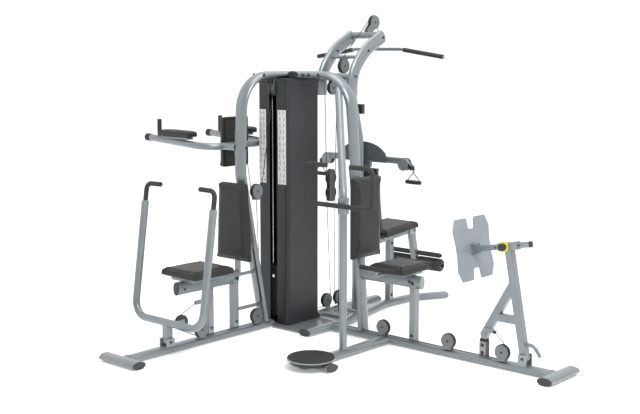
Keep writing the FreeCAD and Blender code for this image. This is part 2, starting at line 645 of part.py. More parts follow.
bar_start, bar_end = sleeve_centre - sleeve_line * 235, sleeve_centre + sleeve_line * 150
plate_bar = square_tube("plate_bar", bar_start, bar_end, side="plate_bar_side", across=AXIS_Y)
notches = []
for step in range(-2, 4):
    notch_point = knob_point + sleeve_line * (step * 35)
    notch = rod("plate_bar_notch_%d" % step, notch_point - AXIS_Y * 40, notch_point - AXIS_Y * 8,
                "axle_radius")
    notch.setExpression("Radius", "dims.axle_radius + 0.3")
    notches.append(notch)
notched = cut("plate_bar_notched", plate_bar, fuse("plate_bar_notches", notches))
head = box("plate_bar_head", (0, 0, 0), (26, 64, 70))
head_corner = bar_start - sleeve_line * 26 - post_line * 35 - AXIS_Y * 32
head.Placement = Placement(head_corner, turn_to(post_line, sleeve_line))
keep(fuse("plate_bar_welded", [notched, head]), "foot_plate_bar")

wide, tall = D["foot_plate_wide"] / 2, D["foot_plate_tall"] / 2
lobe, waist, notch_x, notch_y = wide - 34, wide - 12, 34, tall - 72
quarter = [(notch_x, notch_y), (notch_x + 8, tall), (lobe, tall), (wide, tall - 70), (waist, 40)]
outline = quarter + [(x, -y) for x, y in reversed(quarter)]
outline += [(-x, -y) for x, y in quarter] + [(-x, y) for x, y in reversed(quarter)]
plate_face = bar_start - sleeve_line * (26 + D["foot_plate_thick"] + 0.5)
foot_plate_place = Placement(plate_face + post_line * 6, Rotation(AXIS_Y, Vector(), sleeve_line, "XZY"))
keep(pad_body("foot_plate", outline, "foot_plate_thick", foot_plate_place, "foot_corner", all_round=False),
     "foot_plate")
knob_parts = []
knob_steps = (("pin", 18.6, 56, "axle_radius"), ("collar", 25.6, 34, 33), ("grip", 34, 62, 23))
for name, near, far, radius in knob_steps:
    knob_parts.append(rod("adjuster_" + name, knob_point - AXIS_Y * near, knob_point - AXIS_Y * far, radius))
keep(fuse("adjuster", knob_parts), "adjuster_knob")
stop_post = square_tube("stop_post", (1706, 0, beam_top - 4), (1706, 0, 148), across=AXIS_X)
stop_ears = []
for sign in (-1, 1):
    stop_ears.append(box("leg_ear_%d" % sign, (leg_x - 30, sign * 33 - 3, beam_top - 6),
                         (leg_x + 30, sign * 33 + 3, 118)))
keep(group("leg_press_fixings", [stop_post] + stop_ears), "leg_press_stop")

# ---- knee raise station, facing -X ---------------------------------------------------------------

arm_near, arm_far, knee_x = -615, -15, -184
knee_points = [(-800, arm_near, 1352), (knee_x, arm_near - 12, 1314), (knee_x, arm_far + 12, 1314),
               (-800, arm_far, 1352)]
knee_tube = sweep("knee_tube", knee_points, 150, "round_tube_radius")
knee_stub = rod("knee_stub", (-52, -478, 1314), (knee_x, -478, 1314), "round_tube_radius")
knee_carrier = box("knee_pad_carrier", (knee_x - 34, -345, 1220), (knee_x - 18, -285, 1420))
knee_parts = [knee_tube, knee_stub, knee_carrier]
for y in (arm_near, arm_far):
    knee_parts.append(rod("knee_peg_%d" % y, (-706, y, 1345), (-706, y, 1372), "thin_bar_radius"))
    knee_parts.append(box("knee_pad_plate_%d" % y, (-650, y - 30, 1358), (-380, y + 30, 1371)))
keep(fuse("knee_frame", knee_parts), "knee_raise_frame")
knee_grips = []
for y in (arm_near, arm_far):
    knee_grips.append(rod("knee_grip_up_%d" % y, (-706, y, 1373), (-706, y, 1490), "grip_radius"))
    knee_grips.append(rod("knee_grip_end_%d" % y, (-801, y, 1352.1), (-845, y, 1354.8), 27))
keep(group("knee_grip_set", knee_grips), "knee_raise_grips")
knee_back_place = Placement(Vector(knee_x - 35, -315, 1156), Rotation(-AXIS_Y, Vector(), -AXIS_X, "XZY"))
keep(pad_body("knee_raise_back_pad", slab(132, 0, 362), "back_pad_thick", knee_back_place),
     "knee_raise_back_pad")
arm_pads = []
for name, y in (("near", arm_near), ("far", arm_far)):
    pad_outline = [(-682, y - 50), (-345, y - 50), (-345, y + 50), (-682, y + 50)]
    arm_pads.append(pad_body("arm_pad_" + name, pad_outline, "arm_pad_thick",
                             Placement(Vector(0, 0, 1372), Rotation()), "arm_pad_round"))
keep(group("arm_pad_pair", arm_pads), "knee_raise_arm_pads")

# ---- twister -------------------------------------------------------------------------------------

disc_foot = D["disc_foot"]
disc_centre = Vector(twister_x + 10, twister_y, disc_foot)
disc = cylinder("disc_blank", disc_centre, AXIS_Z, "disc_radius", "disc_thick")
keep(rounded("disc_soft", disc, 6), "twister_disc")
rail_y = -480 - 37 - 16
handrail = [(twister_x - 100, rail_y, 1255), (twister_x - 280, rail_y, 1255), (twister_x - 280, rail_y, 1000),
            (twister_x + 280, rail_y, 1000), (twister_x + 280, rail_y, 1255), (twister_x + 100, rail_y, 1255)]
keep(sweep("handrail", handrail, 38, "grip_radius"), "twister_handrail")

# ---- pulldown, leg extension and cable station, facing +Y ----------------------------------------

seat_tilt = 5
rear_under = D["rear_seat_top"] - seat_thick
rear_parts = [square_tube("rear_post", (station_x, 860, beam_top - 4), (station_x, 860, 535), across=AXIS_X),
              square_tube("rear_seat_beam", (station_x, upright_y + 20, 522), (station_x, 1100, 572),
                          across=AXIS_X)]
seat_plate = box("rear_seat_plate", (station_x - 100, 0, 0), (station_x + 100, 280, 22))
seat_turn = Rotation(AXIS_X, seat_tilt)
seat_plate.Placement = Placement(Vector(station_x - 100, 670, 561), seat_turn)
rear_parts.append(seat_plate)
for sign in (-1, 1):
    x = station_x + sign * 33
    rear_parts.append(box("extension_ear_%d" % sign, (x - 3, 1080, 540), (x + 3, 1155, 600)))
rear_parts.append(box("extension_yoke", (station_x - 36, 1076, 542), (station_x + 36, 1094, 582)))
rear_parts.append(box("rear_pad_carrier", (station_x - 25, 494, 690), (station_x + 25, 510, 1040)))
keep(fuse("rear_seat_welded", rear_parts), "rear_seat_frame")
keep(pad_body("rear_seat_pad", slab(170, 0, 410), "seat_pad_thick",
              Placement(Vector(station_x, 618, 582), seat_turn)), "rear_seat_pad")
lean = Rotation(AXIS_X, 7).multiply(Rotation(-AXIS_X, Vector(), AXIS_Y, "XZY"))
keep(pad_body("rear_back_pad", slab(140, 0, 500), "back_pad_thick",
              Placement(Vector(station_x, 572, 624), lean)), "rear_back_pad")

hinge_y, hinge_z = 1132, 570
axle_y, axle_z = 1205, 300
extension = [square_tube("extension_tube", (station_x, hinge_y + 10, hinge_z - 28),
                         (station_x, axle_y, axle_z - 22), across=AXIS_X)]
extension.append(rod("extension_barrel", (station_x - 29, hinge_y, hinge_z),
                     (station_x + 29, hinge_y, hinge_z), 24))
extension.append(box("extension_neck", (station_x - 20, hinge_y - 14, hinge_z - 60),
                     (station_x + 20, hinge_y + 24, hinge_z - 8)))
extension.append(rod("roller_axle", (station_x - 262, axle_y, axle_z), (station_x + 262, axle_y, axle_z),
                     "thin_bar_radius"))
extension.append(rod("foot_bar_core", (station_x - 262, axle_y - 22, axle_z + 82),
                     (station_x + 262, axle_y - 22, axle_z + 82), "thin_bar_radius"))
hinge_bore = rod("hinge_bore", (station_x - 60, hinge_y, hinge_z), (station_x + 60, hinge_y, hinge_z),
                 "axle_radius")
hinge_bore.setExpression("Radius", "dims.axle_radius + 0.05")
extension_bored = cut("extension_bored", fuse("extension_welded", extension), hinge_bore)
rollers, foot_sleeves = [], []
for sign in (-1, 1):
    near, far = station_x + sign * 34, station_x + sign * 249
    tube = rod("roller_%d" % sign, (near, axle_y, axle_z), (far, axle_y, axle_z), "roller_radius")
    hole = rod("roller_hole_%d" % sign, (near - sign, axle_y, axle_z), (far + sign, axle_y, axle_z),
               "thin_bar_radius")
    hole.setExpression("Radius", "dims.thin_bar_radius + 0.08")
    rollers.append(cut("roller_cut_%d" % sign, tube, hole))
    tube = rod("foot_sleeve_%d" % sign, (near, axle_y - 22, axle_z + 82), (far, axle_y - 22, axle_z + 82), 19)
    hole = rod("foot_hole_%d" % sign, (near - sign, axle_y - 22, axle_z + 82),
               (far + sign, axle_y - 22, axle_z + 82), "thin_bar_radius")
    hole.setExpression("Radius", "dims.thin_bar_radius + 0.08")
    foot_sleeves.append(cut("foot_sleeve_cut_%d" % sign, tube, hole))
keep(group("roller_pair", rollers), "leg_rollers")
keep(group("extension_set", [extension_bored] + foot_sleeves), "leg_extension_arm")

hub_z, hub_y, hub_half = 1188, 545, 62
plate_ellipse = doc.addObject("Part::Ellipse", "index_rim")
plate_ellipse.MajorRadius = 228
plate_ellipse.MinorRadius = 128
plate_ellipse.Placement = spot((station_x, 520, hub_z - 4), AXIS_Y, AXIS_X)
index_solid = doc.addObject("Part::Extrusion", "index_disc")
index_solid.Base = plate_ellipse
index_solid.DirMode = "Custom"
index_solid.Dir = AXIS_Y
index_solid.LengthFwd = 6
index_solid.Solid = True
lower_half = box("index_lower", (station_x - 300, 500, hub_z - 200), (station_x + 300, 540, hub_z - 24))
plate = cut("index_plate", index_solid, lower_half)
hub_block = box("hub_block", (station_x - 90, upright_y + 27, hub_z - 60), (station_x + 90, 523, hub_z - 10))
hub_parts = [plate, hub_block]
for sign in (-1, 1):
    x = station_x + sign * hub_half
    hub_parts.append(rod("hub_pin_%d" % sign, (x, 515, hub_z), (x, 588, hub_z), "axle_radius"))
keep(fuse("hub", hub_parts), "swivel_index_plate")
for side, sign in (("left", -1), ("right", 1)):
    x = station_x + sign * hub_half
    arm = square_tube("arm_tube_" + side, (x + sign * 4, 557, hub_z), (x + sign * 300, 557, hub_z - 4),
                      side="sleeve_side", across=AXIS_Y)
    parts = [arm, rod("arm_barrel_" + side, (x, 529, hub_z), (x, 585, hub_z), 28)]
    wheel_x, wheel_z = x + sign * 306, hub_z - 26
    for y in (532, 578):
        parts.append(rod("arm_cheek_%s_%d" % (side, y), (wheel_x, y, wheel_z), (wheel_x, y + 4, wheel_z), 46))
    parts.append(rod("arm_wheel_" + side, (wheel_x, 535, wheel_z), (wheel_x, 579, wheel_z), 38))
    parts.append(square_tube("arm_nose_" + side, (x + sign * 304, 557, hub_z + 2),
                             (x + sign * 376, 557, hub_z - 54), side="plate_bar_side", across=AXIS_Y))
    pop_x = x + sign * 110
    parts.append(rod("arm_pop_pin_" + side, (pop_x, 558, hub_z + 20), (pop_x, 558, hub_z + 46), 14))
    hole = rod("arm_bore_" + side, (x, 500, hub_z), (x, 600, hub_z), "axle_radius")
    hole.setExpression("Radius", "dims.axle_radius + 0.05")
    keep(cut("arm_bored_" + side, fuse("arm_welded_" + side, parts), hole), "cable_arm_" + side)
    hook = Vector(x + sign * 386, 557, hub_z - 74)
    strap = [hook + Vector(0, 0, -3), hook + Vector(-68, 0, -78), hook + Vector(68, 0, -78)]
    web = [rod("strap_a_" + side, strap[0], strap[1], 4), rod("strap_b_" + side, strap[0], strap[2], 4),
           rod("strap_ring_" + side, hook + Vector(0, -8, 0), hook + Vector(0, 8, 0), 7),
           rod("strap_grip_" + side, strap[1] + Vector(-4, 0, 0), strap[2] + Vector(4, 0, 0), "grip_radius")]
    keep(fuse("strap_" + side, web), "cable_handle_" + side)

lat_y, lat_z = 694, 1990
lat_points = [(station_x - 600, lat_y, lat_z - 55), (station_x - 215, lat_y, lat_z),
              (station_x + 215, lat_y, lat_z), (station_x + 600, lat_y, lat_z - 55)]
lat_parts = [sweep("lat_tube", lat_points, 200, "thin_bar_radius"),
             rod("lat_hook", (station_x, lat_y, lat_z + 6), (station_x, lat_y, lat_z + 40), 9)]
keep(fuse("lat_welded", lat_parts), "lat_bar")
lat_grips = []
for sign in (-1, 1):
    inner_end, outer_end = Vector(lat_points[2]), Vector(lat_points[3])
    slope = (outer_end - inner_end).normalize()
    start, end = inner_end + slope * 30, outer_end - slope * 4
    ends = [Vector(station_x + sign * (point.x - station_x), point.y, point.z)
            for point in (start, end, start - slope, end + slope)]
    sleeve = rod("lat_grip_%d" % sign, ends[0], ends[1], "grip_radius")
    bore = rod("lat_grip_bore_%d" % sign, ends[2], ends[3], "thin_bar_radius")
    bore.setExpression("Radius", "dims.thin_bar_radius + 0.05")
    lat_grips.append(cut("lat_grip_cut_%d" % sign, sleeve, bore))
keep(group("lat_grip_pair", lat_grips), "lat_bar_grips")

# ---- pulleys and cables --------------------------------------------------------------------------

front_plane, side_plane, rear_plane = 28, -28, 75
floor_wheel = beam_top + 58
wheels = {
    "front_base": ((front_plane, -376, floor_wheel), AXIS_X, -AXIS_Z, 56),
    "front_post": ((front_plane, -905, floor_wheel), AXIS_X, -AXIS_Z, 56),
    "tower_top": ((5, -147, 1715), AXIS_X, AXIS_Z, 71),
    "front_floating": ((front_plane, -365, 1003), AXIS_X, -AXIS_Z, 62),
    "rear_floor_near": ((rear_plane, 330, floor_wheel), AXIS_X, -AXIS_Z, 56),
    "rear_floor_far": ((rear_plane, 470, floor_wheel), AXIS_X, -AXIS_Z, 56),
    "rear_top_near": ((rear_plane, 262, 1708), AXIS_X, AXIS_Z, 62),
    "rear_top_far": ((rear_plane, 400, 1708), AXIS_X, AXIS_Z, 62),
    "boom_root": ((station_x, 300, 1870), AXIS_X, AXIS_Z, 60),
    "boom_top": ((station_x, 645, 2188), AXIS_X, Vector(0, -89, -96), 110),
}
fixed_wheels, brackets = [], []
for name, (centre, axis, toward, bracket_reach) in wheels.items():
    fixed_wheels.append(wheel(name, centre, axis))
    brackets.append(bracket(name + "_bracket", centre, axis, toward, bracket_reach))
keep(group("fixed_wheels", fixed_wheels), "cable_pulleys")
for name, x in (("inner", 909), ("middle", 1449), ("outer", 1859)):
    centre = (x, side_plane, floor_wheel)
    keep(wheel("side_" + name, centre, AXIS_Y), "side_pulley_" + name)
    brackets.append(bracket("side_%s_bracket" % name, centre, AXIS_Y, -AXIS_Z, 56))
keep(group("bracket_set", brackets), "pulley_brackets")

block_y, block_low, block_high = 380, 925, 1035
block_parts = [wheel("block_low", (rear_plane, block_y, block_low), AXIS_X),
               wheel("block_high", (rear_plane, block_y, block_high), AXIS_X)]
for sign in (-1, 1):
    x = rear_plane + sign * 14
    side_plate = box("block_plate_%d" % sign, (x - 2, block_y - 30, block_low - 68),
                     (x + 2, block_y + 30, block_high + 68))
    block_parts.append(rounded("block_cheek_%d" % sign, side_plate, 26, AXIS_X))
for number, z in enumerate((block_low, block_high)):
    axle_start, axle_end = (rear_plane - 19, block_y, z), (rear_plane + 19, block_y, z)
    block_parts.append(rod("block_axle_%d" % number, axle_start, axle_end, "axle_radius"))
wheels_only = group("block_wheels", block_parts[:2])
keep(group("block", [wheels_only, fuse("block_frame", block_parts[2:])]), "floating_pulley_block")



def across_x(x):
    """Put (u, v) on the upright plane at x, with u along Y and v up."""
    return lambda u, v: Vector(x, u, v)


def side_space(u, v):
    return Vector(u, side_plane, v)


front_space, rear_space, boom_space = across_x(front_plane), across_x(rear_plane), across_x(station_x)
cables = [
    cable("front_lift_cable", [(-458, 1262), (-365, 1003, 1), (-189, 1700)], front_space),
    cable("press_cable", [(-365, 936), (-376, floor_wheel, -1), (-905, floor_wheel, -1), (-1080, 190, -1),
                          (-952, 300)], front_space),
    cable("leg_press_cable", [(1798, 226), (1859, floor_wheel, -1), (1449, floor_wheel, -1),
                              (909, floor_wheel, -1), (446, floor_wheel - 49)], side_space),
    cable("rear_floor_cable", [(196, floor_wheel - 49), (330, floor_wheel, 1), (block_y, block_low, -1),
                               (470, floor_wheel, 1), (830, floor_wheel - 49)], rear_space),
    cable("rear_top_cable", [(220, 56), (262, 1708, -1), (block_y, block_high, 1), (400, 1708, 1),
                             (332, 1766)], rear_space),
    cable("lat_cable", [(lat_y, lat_z + 42), (645, 2188, 1), (300, 1870, 1), (251, 56)], boom_space),
]
keep(group("cable_set", cables), "cables")

# ---- hinge pins and bolts ------------------------------------------------------------------------

pins = [rod("press_pin", (-42, pivot_y, pivot_z), (42, pivot_y, pivot_z), "axle_radius"),
        rod("leg_pin", (leg_x, -42, leg_z), (leg_x, 42, leg_z), "axle_radius"),
        rod("extension_pin", (station_x - 42, hinge_y, hinge_z), (station_x + 42, hinge_y, hinge_z),
            "axle_radius")]
bolt_places = [((36, pivot_y, pivot_z), AXIS_X), ((leg_x, -36, leg_z), -AXIS_Y),
               ((station_x + 36, hinge_y, hinge_z), AXIS_X), ((190, -52, arch_top), -AXIS_Y),
               ((45, -1060, beam_line), AXIS_X), ((1125, -28, side_beam_line), -AXIS_Y)]
for x in (station_x - D["boom_half_gap"], station_x + D["boom_half_gap"]):
    for y, z in ((230, 1800), (374, 1979), (542, 2074)):
        bolt_places.append(((x + 25, y, z), AXIS_X))
for y in (-805, -567):
    bolt_places.append(((25, y, beam_top + 50), AXIS_X))
bolts = [bolt("bolt_%d" % number, point, direction) for number, (point, direction) in enumerate(bolt_places)]
keep(group("fasteners", [fuse("pins_and_heads_%d" % number, [pin, bolts[number]])
                         for number, pin in enumerate(pins)] + bolts[3:]), "frame_bolts")

# ---- checks and export ---------------------------------------------------------------------------

doc.recompute()
os.makedirs("parts", exist_ok=True)
for item in doc.Objects:
    if "Invalid" in item.State or "Error" in item.State:
        raise RuntimeError("%s failed: %s" % (item.Name, item.State))
for node in nodes:
    if node.Shape.isNull() or not node.Shape.isValid() or not node.Shape.Solids:
        raise RuntimeError("%s has no valid solid" % node.Label)
    node.Shape.exportStep("parts/%s.step" % node.Label)
    volume = sum(solid.Volume for solid in node.Shape.Solids) / 1000
    print("%-26s %3d solids %10.1f cm3" % (node.Label, len(node.Shape.Solids), volume))
print(len(nodes), "nodes")
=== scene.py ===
import math
import random

import bmesh
import bpy
from mathutils import Matrix, Vector, noise
from mathutils.bvhtree import BVHTree


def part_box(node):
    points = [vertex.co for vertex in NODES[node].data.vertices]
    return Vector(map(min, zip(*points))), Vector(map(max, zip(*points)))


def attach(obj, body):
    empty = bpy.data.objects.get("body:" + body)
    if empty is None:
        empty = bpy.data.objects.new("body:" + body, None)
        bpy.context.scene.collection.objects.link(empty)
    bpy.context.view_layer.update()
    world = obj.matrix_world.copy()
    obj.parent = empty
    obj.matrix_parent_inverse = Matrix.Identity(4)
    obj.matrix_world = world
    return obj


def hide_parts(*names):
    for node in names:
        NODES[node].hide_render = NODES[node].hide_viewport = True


# Looks for the multi station home gym: upholstery, paint, foam, trim, floor, light and camera.
# Metres, +Z up, origin on the floor under the weight tower.

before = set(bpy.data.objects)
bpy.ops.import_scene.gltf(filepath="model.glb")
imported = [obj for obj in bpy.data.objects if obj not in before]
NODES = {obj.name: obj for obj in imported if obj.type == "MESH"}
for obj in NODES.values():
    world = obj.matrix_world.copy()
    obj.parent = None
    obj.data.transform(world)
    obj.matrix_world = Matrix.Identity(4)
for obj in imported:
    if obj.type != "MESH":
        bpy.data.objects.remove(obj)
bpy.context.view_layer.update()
X, Y, Z = Vector((1, 0, 0)), Vector((0, 1, 0)), Vector((0, 0, 1))
STATION_X = 0.265            # middle of the rear station
ARM_Y = 0.557                # plane of the two cable arms
ROLLER_Y, ROLLER_Z = 1.205, 0.300
ANKLE_Y, ANKLE_Z = 1.183, 0.382
WHEEL_REACH = 0.0525         # just over a cable pulley's radius
AXLE_REACH = 0.0068          # just over a pulley axle's radius
rng = random.Random(7)

# ---- materials -----------------------------------------------------------------------------------


def material(name, dark, light, rough, metallic=0.0, coat=0.0, sheen=0.0, specular=0.5, patch=6.0,
             grain="noise", grain_scale=600.0, bump=0.15, depth=0.0004, wear=None):
    """Procedural finish: two tones in soft patches, a fine grain in bump and roughness, worn edges."""
    mat = bpy.data.materials.new(name)
    mat.use_nodes = True
    tree = mat.node_tree
    nodes, links = tree.nodes, tree.links
    shader = nodes["Principled BSDF"]
    shader.inputs["Metallic"].default_value = metallic
    shader.inputs["Coat Weight"].default_value = coat
    shader.inputs["Coat Roughness"].default_value = 0.25
    shader.inputs["Sheen Weight"].default_value = sheen
    shader.inputs["Sheen Roughness"].default_value = 0.4
    shader.inputs["Specular IOR Level"].default_value = specular
    where = nodes.new("ShaderNodeTexCoord").outputs["Object"]

    def texture(kind, scale, **settings):
        node = nodes.new(kind)
        links.new(where, node.inputs["Vector"])
        node.inputs["Scale"].default_value = scale
        for key, value in settings.items():
            node.inputs[key].default_value = value
        return node

    patches = texture("ShaderNodeTexNoise", patch, Detail=5.0, Roughness=0.6)
    tones = nodes.new("ShaderNodeValToRGB")
    tones.color_ramp.elements[0].position = 0.32
    tones.color_ramp.elements[0].color = (*dark, 1)
    tones.color_ramp.elements[1].position = 0.68
    tones.color_ramp.elements[1].color = (*light, 1)
    links.new(patches.outputs["Fac"], tones.inputs["Fac"])
    colour = tones.outputs["Color"]
    if wear:
        geometry = nodes.new("ShaderNodeNewGeometry")
        edge = nodes.new("ShaderNodeMapRange")
        edge.inputs["From Min"].default_value = 0.54
        edge.inputs["From Max"].default_value = 0.62
        edge.inputs["To Max"].default_value = 0.3
        links.new(geometry.outputs["Pointiness"], edge.inputs["Value"])
        worn = nodes.new("ShaderNodeMix")
        worn.data_type = "RGBA"
        worn.inputs["B"].default_value = (*wear, 1)
        links.new(edge.outputs["Result"], worn.inputs["Factor"])
        links.new(colour, worn.inputs["A"])
        colour = worn.outputs["Result"]
    links.new(colour, shader.inputs["Base Color"])

    if grain == "leather":
        cells = texture("ShaderNodeTexVoronoi", grain_scale)
        height = cells.outputs["Distance"]
    elif grain == "weave":
        wave = texture("ShaderNodeTexWave", grain_scale)
        height = wave.outputs["Fac"]
    else:
        fine = texture("ShaderNodeTexNoise", grain_scale, Detail=3.0, Roughness=0.55)
        height = fine.outputs["Fac"]
    gloss = nodes.new("ShaderNodeMapRange")
    gloss.inputs["To Min"].default_value = rough[0]
    gloss.inputs["To Max"].default_value = rough[1]
    blotch = texture("ShaderNodeTexNoise", patch * 5, Detail=4.0)
    links.new(blotch.outputs["Fac"], gloss.inputs["Value"])
    links.new(gloss.outputs["Result"], shader.inputs["Roughness"])
    relief = nodes.new("ShaderNodeBump")
    relief.inputs["Strength"].default_value = bump
    relief.inputs["Distance"].default_value = depth
    links.new(height, relief.inputs["Height"])
    links.new(relief.outputs["Normal"], shader.inputs["Normal"])
    return mat


PAINT = material("frame_paint", (0.185, 0.209, 0.223), (0.226, 0.253, 0.269), (0.24, 0.36), metallic=0.4,
                 coat=0.35, patch=3.0, grain_scale=420, bump=0.10, depth=0.0003, wear=(0.36, 0.39, 0.41))
CHEEK_PAINT = material("bracket_paint", (0.135, 0.148, 0.156), (0.170, 0.184, 0.193), (0.30, 0.44),
                       metallic=0.35, coat=0.2, patch=5.0, grain_scale=420, bump=0.10, depth=0.0003)
DARK_PAINT = material("index_paint", (0.098, 0.107, 0.113), (0.125, 0.136, 0.143), (0.34, 0.46), metallic=0.3,
                      coat=0.2, patch=4.0, grain_scale=420, bump=0.12, depth=0.0003)
COVER = material("cover_coating", (0.020, 0.021, 0.024), (0.027, 0.028, 0.032), (0.36, 0.50), metallic=0.15,
                 patch=2.0, grain_scale=1300, bump=0.35, depth=0.0004)
VINYL = material("upholstery_vinyl", (0.007, 0.007, 0.0075), (0.012, 0.012, 0.013), (0.42, 0.56), sheen=0.03,
                 patch=5.0, grain="leather", grain_scale=900, bump=0.35, depth=0.0006)
BACKING = material("backing_board", (0.02, 0.02, 0.021), (0.03, 0.03, 0.031), (0.6, 0.75), patch=9.0,
                   grain="weave", grain_scale=260, bump=0.3, depth=0.0004)
THREAD = material("seam_thread", (0.05, 0.05, 0.053), (0.075, 0.075, 0.08), (0.5, 0.65), sheen=0.3, patch=40.0,
                  grain_scale=2500, bump=0.3, depth=0.0002)
FOAM = material("foam_sleeve", (0.018, 0.018, 0.019), (0.030, 0.030, 0.032), (0.62, 0.82), patch=14.0,
                grain_scale=1700, bump=0.6, depth=0.0007)
PLASTIC = material("black_plastic", (0.014, 0.014, 0.015), (0.022, 0.022, 0.023), (0.34, 0.5), patch=12.0,
                   grain_scale=1500, bump=0.2, depth=0.0003, wear=(0.05, 0.05, 0.052))
RUBBER = material("black_rubber", (0.012, 0.012, 0.012), (0.02, 0.02, 0.02), (0.6, 0.8), patch=16.0,
                  grain_scale=1400, bump=0.4, depth=0.0004)
IRON = material("stack_iron", (0.025, 0.025, 0.027), (0.045, 0.045, 0.048), (0.45, 0.62), metallic=0.4,
                patch=9.0, grain_scale=500, bump=0.5, depth=0.0008, wear=(0.15, 0.15, 0.155))
CHROME = material("rod_chrome", (0.72, 0.73, 0.75), (0.80, 0.81, 0.83), (0.06, 0.14), metallic=1.0, patch=8.0,
                  grain_scale=900, bump=0.03, depth=0.0001)
ZINC = material("zinc_steel", (0.42, 0.43, 0.45), (0.56, 0.57, 0.59), (0.26, 0.42), metallic=1.0, patch=30.0,
                grain_scale=1600, bump=0.15, depth=0.0002, wear=(0.7, 0.71, 0.72))
BLACK_BOLT = material("black_bolt_steel", (0.035, 0.035, 0.037), (0.06, 0.06, 0.062), (0.3, 0.45),
                      metallic=0.7, patch=30.0, grain_scale=1600, bump=0.15, depth=0.0002)
PLATE_PAINT = material("foot_plate_paint", (0.215, 0.240, 0.262), (0.258, 0.284, 0.306), (0.32, 0.46),
                       metallic=0.2, coat=0.15, patch=3.5, grain_scale=420, bump=0.15, depth=0.0003)
YELLOW = material("yellow_plastic", (0.72, 0.60, 0.03), (0.85, 0.72, 0.06), (0.3, 0.42), patch=30.0,
                  grain_scale=1500, bump=0.1, depth=0.0002)
BAR_PAINT = material("bar_paint", (0.16, 0.17, 0.185), (0.22, 0.235, 0.25), (0.26, 0.4), metallic=0.6, coat=0.2,
                     patch=6.0, grain_scale=700, bump=0.1, depth=0.0002, wear=(0.45, 0.46, 0.48))
CABLE = material("cable_coating", (0.008, 0.008, 0.009), (0.018, 0.018, 0.019), (0.4, 0.55), patch=40.0,
                 grain="weave", grain_scale=420, bump=0.3, depth=0.0003)
WEB = material("handle_strap", (0.05, 0.05, 0.052), (0.09, 0.09, 0.093), (0.6, 0.8), patch=60.0, grain="weave",
               grain_scale=800, bump=0.5, depth=0.0004)
CARD = material("chart_card", (0.70, 0.69, 0.69), (0.78, 0.77, 0.77), (0.35, 0.5), patch=12.0, grain_scale=900,
                bump=0.05, depth=0.0001)
INK = material("chart_ink", (0.10, 0.10, 0.11), (0.16, 0.15, 0.16), (0.45, 0.6), patch=50.0, grain_scale=1500,
               bump=0.05, depth=0.0001)
ACCENT = material("chart_accent", (0.42, 0.20, 0.20), (0.50, 0.26, 0.25), (0.45, 0.6), patch=50.0,
                  grain_scale=1500, bump=0.05, depth=0.0001)

NODE_FINISH = {
    PAINT: "base_frame_front base_frame_side base_frame_twister base_rail_side base_beam_rear arch_front "
           "arch_side rear_upright pulldown_boom twister_post front_seat_frame press_arm side_seat_frame "
           "leg_press_arm leg_press_stop foot_plate_bar knee_raise_frame rear_seat_frame leg_extension_arm "
           "cable_arm_left cable_arm_right tower_base_plate",
    CHEEK_PAINT: "pulley_brackets floating_pulley_block",
    DARK_PAINT: "swivel_index_plate",
    COVER: "tower_cover_left tower_cover_right",
    FOAM: "press_grips side_seat_grips knee_raise_grips lat_bar_grips twister_handrail",
    PLASTIC: "tube_end_caps adjuster_knob cable_pulleys side_pulley_inner side_pulley_middle side_pulley_outer",
    IRON: "weight_plates front_stack_lift rear_stack_lift",
    CHROME: "guide_rods",
    ZINC: "front_selector_pin rear_selector_pin",
    BLACK_BOLT: "frame_bolts",
    PLATE_PAINT: "foot_plate",
    BAR_PAINT: "lat_bar",
    CABLE: "cables",
}


def finish_nodes():
    for mat, names in NODE_FINISH.items():
        for name in names.split():
            mesh = NODES[name].data
            mesh.materials.clear()
            mesh.materials.append(mat)
            mesh.polygons.foreach_set("material_index", [0] * len(mesh.polygons))


def finish_where(name, mat, test):
    """A second finish on the faces of a CAD node whose centre passes the test."""
    mesh = NODES[name].data
    mesh.materials.append(mat)
    index = len(mesh.materials) - 1
    for face in mesh.polygons:
        if test(face.center):
            face.material_index = index


def near_line(point, start, along, radius):
    """True if point lies within radius of the line through start."""
    offset = point - Vector(start)
    return (offset - along * offset.dot(along)).length < radius


finish_nodes()
for wheel_z in (0.925, 1.035):
    finish_where("floating_pulley_block", PLASTIC,
                 lambda p: abs(p.x - 0.075) < 0.0105 and near_line(p, (0, 0.38, wheel_z), X, WHEEL_REACH))
finish_where("press_arm", PLASTIC,
             lambda p: 0.0175 < p.x < 0.0385 and near_line(p, (0, -1.08, 0.19), X, WHEEL_REACH))
finish_where("leg_extension_arm", FOAM,
             lambda p: abs(p.x - STATION_X) > 0.033 and near_line(p, (0, ANKLE_Y, ANKLE_Z), X, 0.0195)
             and not near_line(p, (0, ANKLE_Y, ANKLE_Z), X, 0.0145))
for side, sign in (("left", -1), ("right", 1)):
    finish_where("cable_arm_" + side, PLASTIC,
                 lambda p: p.z > 1.2105
                 or (abs(p.x - STATION_X) > 0.414 and abs(p.y - ARM_Y) < 0.0185)
                 or (abs(p.y - ARM_Y) < 0.0205
                     and near_line(p, (STATION_X + sign * 0.368, 0, 1.162), Y, 0.0385)))

# (y, z) of the axles that lie along X, then (x, z) of those along Y
AXLES_ALONG_X = ((-0.376, 0.108), (-0.905, 0.108), (-0.147, 1.715), (-0.365, 1.003), (0.330, 0.108),
                 (0.470, 0.108), (0.262, 1.708), (0.400, 1.708), (0.300, 1.870), (0.645, 2.188))
AXLES_ALONG_Y = ((0.909, 0.108), (1.449, 0.108), (1.859, 0.108))
finish_where("pulley_brackets", BLACK_BOLT,
             lambda p: (p.x < 0.30 and any(near_line(p, (0, y, z), X, AXLE_REACH) for y, z in AXLES_ALONG_X))
             or any(near_line(p, (x, 0, z), Y, AXLE_REACH) for x, z in AXLES_ALONG_Y))
finish_where("leg_press_stop", PLASTIC, lambda p: 1.7305 < p.x < 1.80)
finish_where("tube_end_caps", PAINT, lambda p: p.y > 1.30 or (p.x > 1.19 and p.z > 0.30))

